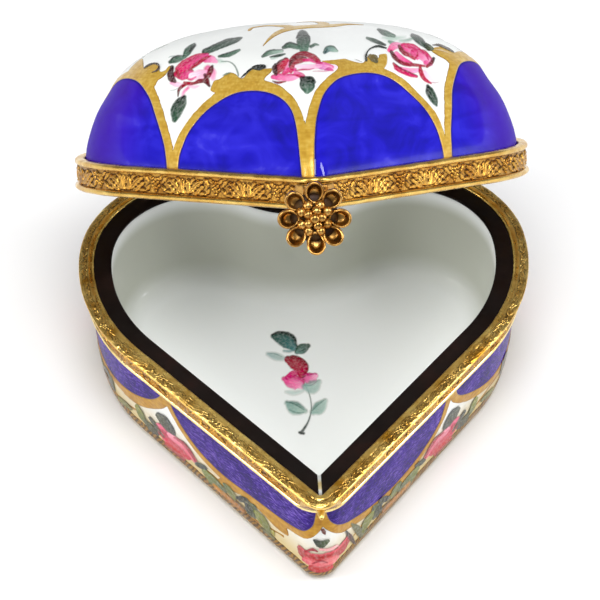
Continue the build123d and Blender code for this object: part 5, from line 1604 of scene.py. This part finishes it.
        ([(-2.78, -8.4), (-1.78, -9.03), (-0.53, -9.4)], [0.66, 1.81, 0.66], (150, 180, 172), (186, 204, 196), 0.85, (110, 144, 134), 0.0, 0.3),
        ([(-2.91, -8.28), (-1.91, -8.53), (-0.66, -9.28)], [0.15, 0.23, 0.15], (96, 126, 116), (96, 126, 116), 0.75, None, 0.0, 0.14),
        ([(-2.53, -9.28), (-1.53, -9.65), (-0.66, -9.59)], [0.18, 0.25, 0.15], (110, 140, 130), (110, 140, 130), 0.6, None, 0.0, 0.14),
        ([(0.47, -9.53), (1.22, -9.03), (1.97, -8.15)], [0.83, 1.65, 0.66], (166, 192, 184), (194, 210, 204), 0.85, (128, 158, 148), 0.0, 0.3),
        ([(0.35, -9.4), (1.1, -8.65), (1.85, -8.09)], [0.13, 0.2, 0.13], (106, 136, 126), (106, 136, 126), 0.7, None, 0.0, 0.14),
    ],
}
GOLD = {
    'lid': [
        ([(-12.41, 31.18), (-10.91, 31.61), (-8.66, 31.7), (-6.41, 31.68), (-4.78, 31.36)], [0.5, 0.75, 0.63, 0.63, 0.5]),
        ([(-10.78, 32.18), (-9.78, 32.55), (-8.78, 32.11)], [0.63, 0.81, 0.5]),
        ([(-8.35, 32.05), (-7.53, 32.68), (-6.91, 32.99), (-6.41, 32.24)], [0.38, 0.75, 1.0, 1.0]),
        ([(-6.53, 32.11), (-5.53, 32.74), (-4.53, 33.18)], [0.88, 0.88, 0.63]),
        ([(1.22, 34.87), (2.47, 34.68), (4.47, 34.12), (6.6, 33.74)], [0.88, 1.06, 0.88, 0.75]),
        ([(4.47, 33.62), (6.97, 33.62), (8.97, 33.74)], [0.88, 1.0, 0.88]),
        ([(7.6, 34.74), (8.1, 34.12)], [0.88, 1.13]),
        ([(9.16, 35.24), (9.35, 34.49), (9.29, 33.62)], [0.88, 1.0, 1.0]),
        ([(-22.91, 32.37), (-21.66, 33.12), (-20.41, 32.62), (-19.16, 32.11)], [1.25, 1.63, 1.38, 0.75]),
        ([(-20.29, 33.3), (-19.04, 33.64)], [0.75, 0.75]),
        ([(-18.54, 32.3), (-17.91, 33.18), (-17.29, 33.74)], [0.75, 0.88, 0.38]),
        ([(15.1, 35.68), (16.48, 35.37), (17.85, 34.62)], [0.5, 1.0, 1.13]),
        ([(17.6, 34.37), (18.35, 34.87), (19.23, 34.74)], [1.0, 1.13, 1.13]),
    ],
    'base': [
        ([(-22.91, -7.03), (-21.66, -8.03), (-20.29, -8.53), (-18.66, -8.65), (-17.66, -8.28)], [0.63, 0.75, 1.0, 1.06, 0.75]),
        ([(-11.03, -17.4), (-10.03, -18.4), (-8.78, -19.53)], [0.63, 1.0, 0.63]),
        ([(-11.16, -18.03), (-10.66, -18.65)], [0.5, 0.63]),
        ([(-1.28, -26.53), (-0.41, -27.53)], [0.25, 0.38]),
    ],
}


# ---------------------------------------------------------------------------
# Casting the drawn strokes on to the glaze
# ---------------------------------------------------------------------------
DAZ, DEL, DDIST = math.radians(-3.02), math.radians(47.1), 700.25
D_BACK = np.array([math.sin(DAZ) * math.cos(DEL), -math.cos(DAZ) * math.cos(DEL), math.sin(DEL)])
D_RIGHT = np.array([math.cos(DAZ), math.sin(DAZ), 0.0])
D_UP = np.cross(D_BACK, D_RIGHT)
D_EYE = np.array([0.0, 0.0, H_RIM]) + D_BACK * DDIST


def drawn(P):
    """Where a point of the resting box falls on the drawing board, in mm."""
    d = P - D_EYE
    z = -(d @ D_BACK)
    return np.stack([d @ D_RIGHT / z, d @ D_UP / z], -1) * DDIST


def cast(S, Q, v0, lid):
    """Board position and how squarely the surface faces the board."""
    v = np.clip(Q[:, 1] + v0, 0, S.vmax)
    P = S.at(Q[:, 0], v)
    N = S.at(Q[:, 0], v, 1.0) - P
    if lid:
        Q2 = open_lid(P + N)
        P = open_lid(P)
        N = Q2 - P
    w = D_EYE - P
    w /= np.linalg.norm(w, axis=1, keepdims=True)
    return drawn(P), (w * N).sum(1)


def stroke_field(B, pts, w):
    C = spline(np.array(pts, float), 8)
    k = np.linspace(0, 1, len(pts))
    lo, hi = C.min(0) - max(w), C.max(0) + max(w)
    m = np.all((B > lo) & (B < hi), axis=1)
    if not m.any():
        return m, None, None, None, None
    d, t, sd = seg_dist(B[m], C)
    # parameter along the control points, not the arc
    L = np.r_[0, np.cumsum(np.linalg.norm(np.diff(C, axis=0), axis=1))]
    kk = np.interp(t, L / L[-1], np.linspace(0, 1, len(C)))
    # widths swell like an ellipse between the given ones
    w2 = np.asarray(w, float) ** 2
    hw = np.sqrt(np.clip(pchip(k, w2, kk) if len(w) > 2 else np.interp(kk, k, w2), 0.0004, None)) / 2
    return m, d, kk, sd, hw


def gold_strokes(B, face, sets):
    out = np.full(len(B), -9.0)
    for pts, w in sets:
        m, d, kk, sd, hw = stroke_field(B, pts, w)
        if not m.any():
            continue
        out[m] = np.maximum(out[m], hw - d)
    out[face < 0.04] = -9.0
    return out


def board(px):
    """Drawing-board outline from the sketch's own units."""
    p = np.array(px, float) / 10.0
    for _ in range(2):
        q = np.roll(p, -1, 0)
        p = np.stack([0.78 * p + 0.22 * q, 0.22 * p + 0.78 * q], 1).reshape(-1, 2)
    return p


# gilded mounds over the swags, in tenths of a millimetre on the drawing board
MOUNDS = [
    [(-125, 305), (-122, 314), (-119, 320), (-113, 321), (-108, 324), (-104, 329), (-98, 330), (-92, 328),
     (-87, 323), (-83, 322), (-78, 328), (-72, 334), (-65, 335), (-59, 334), (-52, 335), (-45, 335), (-47, 330),
     (-53, 325), (-57, 320), (-49, 318), (-37, 314), (-27, 306), (-30, 296), (-67, 300), (-99, 299)],
    [(16, 353), (23, 353), (33, 351), (45, 347), (57, 343), (68, 341), (72, 349), (77, 353), (83, 352), (87, 347),
     (87, 352), (93, 355), (98, 352), (98, 342), (96, 337), (92, 332), (100, 329), (106, 322), (66, 322), (38, 322),
     (31, 322), (30, 329), (36, 335), (33, 339), (23, 340), (13, 344)],
    [(-227, 325), (-227, 332), (-214, 345), (-208, 348), (-207, 342), (-207, 335), (-202, 339), (-193, 341),
     (-187, 337), (-187, 330), (-180, 332), (-177, 337), (-172, 339), (-175, 331), (-183, 323), (-190, 319),
     (-192, 312), (-199, 312), (-212, 316)],
    [(149, 364), (156, 365), (166, 362), (176, 357), (182, 354), (186, 357), (192, 354), (201, 345), (186, 337),
     (175, 340), (171, 345), (161, 350), (152, 356)],
]
MOUNDS = [board(p) for p in MOUNDS]
BASE_MOUNDS = [board(p) for p in [
    [(-130, -158), (-122, -168), (-113, -169), (-108, -178), (-100, -177), (-94, -188), (-87, -195), (-78, -199),
     (-72, -209), (-63, -218), (-54, -227), (-44, -238), (-33, -247), (-24, -252), (-30, -233), (-74, -185),
     (-118, -149)],
]]


# copies round the side and back: (U from, U to, U of the copy's middle, U of the drawn one, direction)
LID_COPIES = [(-86.0, -49.0, -70.6, -12.6, 1.0), (49.0, 86.0, 71.2, -12.6, -1.0)]


def mounds(B, face, polys):
    out = np.full(len(B), -9.0)
    for P in polys:
        lo, hi = P.min(0) - 0.6, P.max(0) + 0.6
        m = np.all((B > lo) & (B < hi), axis=1)
        if m.any():
            out[m] = np.maximum(out[m], poly_sdf(B[m], P))
    out[face < 0.04] = -9.0
    return out


def lid_gold(Q):
    d = blue_sdf(Q, LID_BLUE)
    w = 1.34 + 0.16 * fbm(Q[:, 0] * 0.35, Q[:, 1] * 0.35, 101, 2) + 0.05 * noise2(Q[:, 0] * 2.2, Q[:, 1] * 2.2, 102)
    g = np.minimum(d + w, 0.05 - d)
    # stay clear above the stems' own height
    B, face = cast(LID, Q, VL0, True)
    s = mounds(B, face, MOUNDS)
    for a, b, u1, u0, sg in LID_COPIES:
        m = (Q[:, 0] > a) & (Q[:, 0] < b)
        if m.any():
            q = Q[m].copy()
            q[:, 0] = u0 + (q[:, 0] - u1) * sg
            B2, f2 = cast(LID, q, VL0, True)
            s[m] = np.maximum(s[m], mounds(B2, f2, MOUNDS[:1]))
    # fuller crowns on the side arches
    for uc, vc, hw_, hh in ((-41.5, 12.3, 4.2, 0.9), (43.5, 13.1, 4.4, 0.9)):
        r = np.hypot((Q[:, 0] - uc) / hw_, (Q[:, 1] - vc) / hh)
        s = np.maximum(s, (1 - r) * hh)
    s = np.minimum(s, 0.05 - d)
    return np.maximum(g, s)


def gold_extra(Q, s):
    st = noise2(Q[:, 0] * 0.9, Q[:, 1] * 6.0, 103) * 0.5 + noise2(Q[:, 0] * 3.0, Q[:, 1] * 3.0, 104) * 0.5
    return {"tone": 0.5 + 0.5 * st, "dk": np.zeros(len(Q))}


patch("lid_gilding", LID, VL0, lid_gold, (-85.9, 85.9, -0.12, 15.6), M_GILT, "lid", True, h=0.125, lift=0.055,
      edge=0.16, fld=gold_extra)


def base_gold(Q):
    d = blue_sdf(Q, BASE_BLUE)
    w = 1.22 + 0.30 * fbm(Q[:, 0] * 0.30, Q[:, 1] * 0.30, 111, 2)
    g = np.minimum(d + w, 0.05 - d)
    B, face = cast(BASE, Q, VB0, False)
    s = np.maximum(gold_strokes(B, face, GOLD["base"]), mounds(B, face, BASE_MOUNDS))
    for a, b, sg, off in ((10.0, 48.0, -1.0, 0.0), (-86.0, -50.0, 1.0, -29.3), (50.0, 86.0, -1.0, 29.3)):
        m = (Q[:, 0] > a) & (Q[:, 0] < b)
        if m.any():
            q = Q[m].copy()
            q[:, 0] = (q[:, 0] - off) * sg
            B2, f2 = cast(BASE, q, VB0, False)
            s[m] = np.maximum(s[m], np.maximum(gold_strokes(B2, f2, GOLD["base"][:3]), mounds(B2, f2, BASE_MOUNDS)))
    s = np.minimum(s, 0.05 - d)
    # scrolling tendril between the swags and the foot
    for j, (per, ph, vc, am, th) in enumerate(((14.2, 0.8, 9.3, 0.85, 0.20),)):
        y = vc + am * np.sin(2 * math.pi * Q[:, 0] / per + ph)
        sl = np.sqrt(1 + (am * 2 * math.pi / per) ** 2)
        tt = (th + 0.07 * noise2(Q[:, 0] * 0.8, Q[:, 0] * 0.0, 113)) - np.abs(Q[:, 1] - y) / sl
        # the tendril breaks off where the roses sit
        for uc in (-28.0, 0.0, 27.0, -56.5, 56.5):
            tt = np.minimum(tt, np.abs(Q[:, 0] - uc) - 6.2)
        s = np.maximum(s, tt)
    # hatched line along the foot
    foot = 1.12 + 0.08 * noise2(Q[:, 0] * 1.1, Q[:, 1] * 0, 114) - np.abs(Q[:, 1] - 11.40)
    return np.maximum(np.maximum(g, s), foot)


def base_extra(Q, s):
    ft = smoothstep(Q[:, 1], 10.15, 10.35)
    hat = 0.5 + 0.5 * np.sin(2 * math.pi * (Q[:, 0] * 1.25 + Q[:, 1] * 0.9 + 0.35 * noise2(Q[:, 0] * 1.3, Q[:, 1] * 2, 115)))
    st = noise2(Q[:, 0] * 0.9, Q[:, 1] * 6.0, 103) * 0.5 + noise2(Q[:, 0] * 3.0, Q[:, 1] * 3.0, 104) * 0.5
    # the 0.10 darkens all the base gilding as painted shade; the darker hatched line along the foot is the gilding's
    # own pattern
    return {"tone": 0.5 + 0.5 * st, "dk": np.clip(0.10 + ft * (0.28 + 0.75 * smoothstep(hat, 0.40, 0.75)), 0, 0.95)}


patch("base_gilding", BASE, VB0, base_gold, (-86.2, 86.2, -0.12, 12.98), M_GILT_BASE_SHADED, "base", False, h=0.125, lift=0.055,
      edge=0.16, fld=base_extra)


# ---------------------------------------------------------------------------
# Enamel painting
# ---------------------------------------------------------------------------
def lay(B, groups, face=None, seed=0, over=False):
    """Lays every stroke of the groups over white; returns paint colour and coverage."""
    n = len(B)
    col = np.tile(lin((240, 240, 236)), (n, 1))
    alp = np.zeros(n)
    j = seed
    for g in groups:
        for pts, w, c0, c1, a, cs, fade, soft in PAINT[g]:
            j += 1
            m, d, kk, sd, hw = stroke_field(B, pts, w)
            if not m.any():
                continue
            # the brush leaves an uneven edge and fine bristle lines
            b = B[m]
            ed = hw * (1 + 0.05 * noise2(b[:, 0] * 3.4, b[:, 1] * 3.4, 200 + j)) - d
            cov = smoothstep(ed, -soft * 0.35, soft)
            lat = sd * d
            br = noise2(lat * 13.0 + j * 3.1, kk * 3.0 + j, 300 + j)
            br2 = noise2(lat * 26.0 + j, kk * 6.0, 400 + j)
            f = cov * a * np.clip(1.0 + 0.16 * br + 0.08 * br2 - 0.05, 0, 1)
            if fade:
                f = f * (1 - fade * smoothstep(kk, 0.45, 1.0))
            k3 = kk[:, None]
            c = lin(c0) * (1 - k3) + lin(c1) * k3
            if cs is not None:
                q = smoothstep(lat / np.maximum(hw, 1e-3), 0.05, 0.9)[:, None]
                c = c * (1 - q) + lin(cs) * q
            # colour pools darker along the edge of a stroke
            darkening = 1.0 - 0.18 * np.exp(-(np.clip(ed, 0, 9) / 0.09) ** 2) + 0.10 * br + 0.05 * br2
            c = np.clip(c * darkening[:, None], 0, 1)
            o = alp[m]
            A = f + o * (1 - f)
            cc = np.where(A[:, None] > 1e-5, (c * f[:, None] + col[m] * (o * (1 - f))[:, None]) / np.maximum(A, 1e-5)[:, None], col[m])
            col[m] = cc
            alp[m] = A
    if face is not None:
        alp = alp * smoothstep(face, 0.03, 0.09)
    # fired colour is deeper and purer than the wash
    y = (col * (0.25, 0.60, 0.15)).sum(1)[:, None]
    col = np.clip(y + (col - y) * 1.22, 0.004, 1) ** 1.36
    alp = 1 - (1 - alp) ** 1.6
    return (col, np.where(alp > 0.45, np.maximum(alp, 0.97), 0.0)) if over else (col, alp)


def enamel(name, S, v0, box, groups, body, lid, xf=None, h=0.1, lift=0.02, seed=0, over=False):
    u = np.arange(box[0], box[1] + h, h)
    v = np.arange(box[2], box[3] + h, h)
    UU, VV = np.meshgrid(u, v)
    Q = np.column_stack([UU.ravel(), VV.ravel()])
    qs = xf(Q) if xf else Q
    if S is None:
        P = np.column_stack([Q[:, 0], Q[:, 1], np.full(len(Q), 2.30)])
        B, face = drawn(P), None
    else:
        B, face = cast(S, qs, v0, lid)
    col, a = lay(B, groups, face, seed, over)
    F = grid_faces(*UU.shape)
    F = F[(a[F] > 0.5).all(1) if over else (a[F] > 0.012).any(1)]
    used = np.unique(F)
    idx = np.full(len(Q), -1)
    idx[used] = np.arange(len(used))
    F = idx[F]
    Qu, au, cu = Q[used], a[used], col[used]
    L = lift * (0.55 + 0.9 * au) + 0.004 * au * noise2(Qu[:, 0] * 7, Qu[:, 1] * 7, 501)
    if S is None:
        P = np.column_stack([Qu[:, 0], Qu[:, 1], 2.30 + L])
    else:
        P = S.at(Qu[:, 0], np.clip(Qu[:, 1] + v0, 0, S.vmax), L)
        if S is BASE:
            F = F[:, ::-1]
    return mesh(name, P, F, M_ENAMEL, body, fl={"alpha": au, "U": Qu[:, 0], "V": Qu[:, 1]}, col={"paint": cu}, lid=lid)


def shift(u1, u0, sg=1.0, dv=0.0):
    def f(Q):
        q = Q.copy()
        q[:, 0] = u0 + (q[:, 0] - u1) * sg
        q[:, 1] = q[:, 1] + dv
        return q
    return f


CROWNS = ["crownL", "crownR"]
enamel("lid_rose_point", LID, VL0, (-11.0, 9.0, 7.5, 27.0), ["tip"], "lid", True, h=0.085)
enamel("lid_rose_left", LID, VL0, (-36.0, -9.0, 2.5, 23.0), ["left"], "lid", True, h=0.085)
enamel("lid_rose_right", LID, VL0, (13.0, 41.0, 3.5, 27.0), ["right"], "lid", True, h=0.09)
enamel("lid_rose_rear_left", LID, VL0, (-69.0, -38.0, 2.5, 26.0), ["left"], "lid", True, shift(-55.6, -25.6, 1.0, 0.2), 0.1, seed=40)
enamel("lid_rose_rear_right", LID, VL0, (40.0, 71.0, 2.5, 26.0), ["left"], "lid", True, shift(57.3, -25.6, -1.0, 0.0), 0.1, seed=80)

# crown strokes over the gilding
enamel("lid_crown_strokes", LID, VL0, (-22.0, 26.0, 10.5, 26.0), ["crownL", "crownR"], "lid", True, h=0.075, lift=0.085, over=True)
enamel("lid_crown_strokes_side_left", LID, VL0, (-46.0, -27.0, 9.0, 18.0), ["crownF"], "lid", True, h=0.085, lift=0.085, over=True)
enamel("lid_crown_strokes_side_right", LID, VL0, (27.0, 48.0, 9.0, 22.0), ["crownG"], "lid", True, h=0.085, lift=0.085, over=True)
for s_, (a_, b_, u1_, u0_, sg_) in zip(("left", "right"), LID_COPIES):
    enamel("lid_crown_strokes_rear_" + s_, LID, VL0, (min(a_, b_) + 1, max(a_, b_) - 1, 10.5, 24.0), ["crownL"], "lid", True,
           shift(u1_, u0_, sg_), 0.085, lift=0.085, seed=20, over=True)

# a gilt scroll over the crown, laid out in plan
SCROLL = [([(-4.9, -6.6), (-3.75, -4.3), (-2.5, -2.5), (-0.8, -1.25), (1.5, -0.3), (3.7, 1.2), (5.7, 3.2), (7.9, 4.2)],
           [0.2, 0.8, 1.7, 2.6, 2.3, 1.6, 1.0, 0.2]),
          ([(-1.0, -1.2), (-2.0, 1.2), (-3.8, 3.2), (-5.8, 3.3), (-6.3, 1.9)], [1.4, 1.5, 1.1, 0.8, 0.5]),
          ([(2.4, 0.3), (2.9, 3.0), (2.0, 5.8), (-0.2, 7.8)], [1.2, 1.5, 1.1, 0.2])]


def scroll_gold(Q):
    P = LID.at(Q[:, 0], np.clip(Q[:, 1] + VL0, 0, LID.vmax))[:, :2]
    out = np.full(len(P), -9.0)
    m = (np.abs(P[:, 0]) < 8.5) & (P[:, 1] > -8.0) & (P[:, 1] < 12.5)
    if m.any():
        p = P[m]
        best = np.full(len(p), -9.0)
        for c, w in SCROLL:
            d, t, _ = seg_dist(p, spline(c, 8))
            kx = np.linspace(0, 1, len(w))
            best = np.maximum(best, np.interp(t, kx, w) / 2 - d)
        out[m] = best
    return out


patch("lid_crown_scroll", LID, VL0, scroll_gold, (-85.9, 85.9, 19.0, LID.vmax - VL0 - 0.2), M_GILT, "lid", True,
      h=0.16, lift=0.05, edge=0.14, fld=gold_extra)

# base: roses under the stems, leaves along the foot
enamel("base_rose_point", BASE, VB0, (-8.0, 8.0, 3.0, 10.8), ["bT"], "base", False, h=0.085, lift=0.075, over=True)
enamel("base_rose_left", BASE, VB0, (-40.0, -8.0, 2.5, 10.8), ["bL"], "base", False, h=0.08, lift=0.075, over=True)
enamel("base_rose_right", BASE, VB0, (8.0, 40.0, 2.5, 10.8), ["bL"], "base", False, shift(0.0, -1.2, -1.0), 0.08, lift=0.075, seed=30, over=True)
enamel("base_rose_rear_left", BASE, VB0, (-70.0, -40.5, 2.5, 10.8), ["bL"], "base", False, shift(-56.3, -27.6, 1.0), 0.08, lift=0.075, seed=60, over=True)
enamel("base_rose_rear_right", BASE, VB0, (40.5, 70.0, 2.5, 10.8), ["bL"], "base", False, shift(56.3, -27.6, -1.0), 0.08, lift=0.075, seed=90, over=True)
enamel("floor_sprig", None, 0, (-9.5, 5.5, -8.0, 15.5), ["spr"], "base", False, h=0.06, lift=0.03)


# ---------------------------------------------------------------------------
# Camera, lights, floor
# ---------------------------------------------------------------------------
cam_d = bpy.data.cameras.new("camera")
cam = bpy.data.objects.new("camera", cam_d)
bpy.context.scene.collection.objects.link(cam)
cam_d.sensor_width = 36.0
cam_d.lens = 5599.79 * 36.0 / 600.0
az, el = math.radians(-3.02), math.radians(47.1)
back = Vector((math.sin(az) * math.cos(el), -math.cos(az) * math.cos(el), math.sin(el)))
right = Vector((math.cos(az), math.sin(az), 0.0))
up = back.cross(right)
cam.location = (Vector((0, 0, H_RIM)) + back * 700.25) * 0.001
R = Matrix((right, up, back)).transposed()
R = Matrix.Rotation(math.radians(0.0945), 3, up) @ Matrix.Rotation(math.radians(0.3667), 3, right) @ R
cam.rotation_mode = "QUATERNION"
cam.rotation_quaternion = R.to_quaternion()
cam_d.clip_start, cam_d.clip_end = 0.05, 20.0
bpy.context.scene.camera = cam

fm = bpy.data.meshes.new("floor")
g = np.linspace(-1, 1, 25)
fx, fy = np.meshgrid(g * 3.0, g * 3.0)
fm.from_pydata([(float(a), float(b), -0.00002) for a, b in zip(fx.ravel(), fy.ravel())], [],
               [tuple(int(i) for i in q) for q in grid_faces(25, 25)])
floor = bpy.data.objects.new("floor", fm)
bpy.context.scene.collection.objects.link(floor)
fm.materials.append(mat_floor())


def area(name, loc, aim, size, power, color=(1, 1, 1), size_y=None):
    d = bpy.data.lights.new(name, "AREA")
    d.energy = power
    d.color = color
    d.shape = "RECTANGLE"
    d.size, d.size_y = size, size_y or size
    o = bpy.data.objects.new(name, d)
    o.location = loc
    o.rotation_mode = "QUATERNION"
    o.rotation_quaternion = (Vector(aim) - Vector(loc)).to_track_quat("-Z", "Y")
    bpy.context.scene.collection.objects.link(o)
    return o


area("strip_left", (-0.53, -0.14, 0.25), (0, -0.02, 0.03), 0.10, 1.7, (1.0, 0.99, 0.97), 0.50)
area("strip_right", (0.56, -0.07, 0.25), (0, -0.02, 0.03), 0.11, 2.0, (0.98, 0.99, 1.0), 0.50)
area("top", (0.0, -0.235, 0.73), (0, 0, 0.0), 0.42, 4.7)
area("front_low", (-0.02, -0.70, 0.14), (0, 0, 0.03), 0.10, 0.3, (1, 1, 1), 0.30)

w = bpy.data.worlds.new("world")
bpy.context.scene.world = w
w.use_nodes = True
wt = w.node_tree
bg = wt.nodes["Background"]
bg.inputs[0].default_value = (0.93, 0.95, 1.0, 1)
bg.inputs[1].default_value = 0.26
sc = bpy.context.scene
sc.view_settings.view_transform = "Standard"
sc.view_settings.look = "None"
sc.view_settings.exposure = 0.0
sc.view_settings.gamma = 1.0
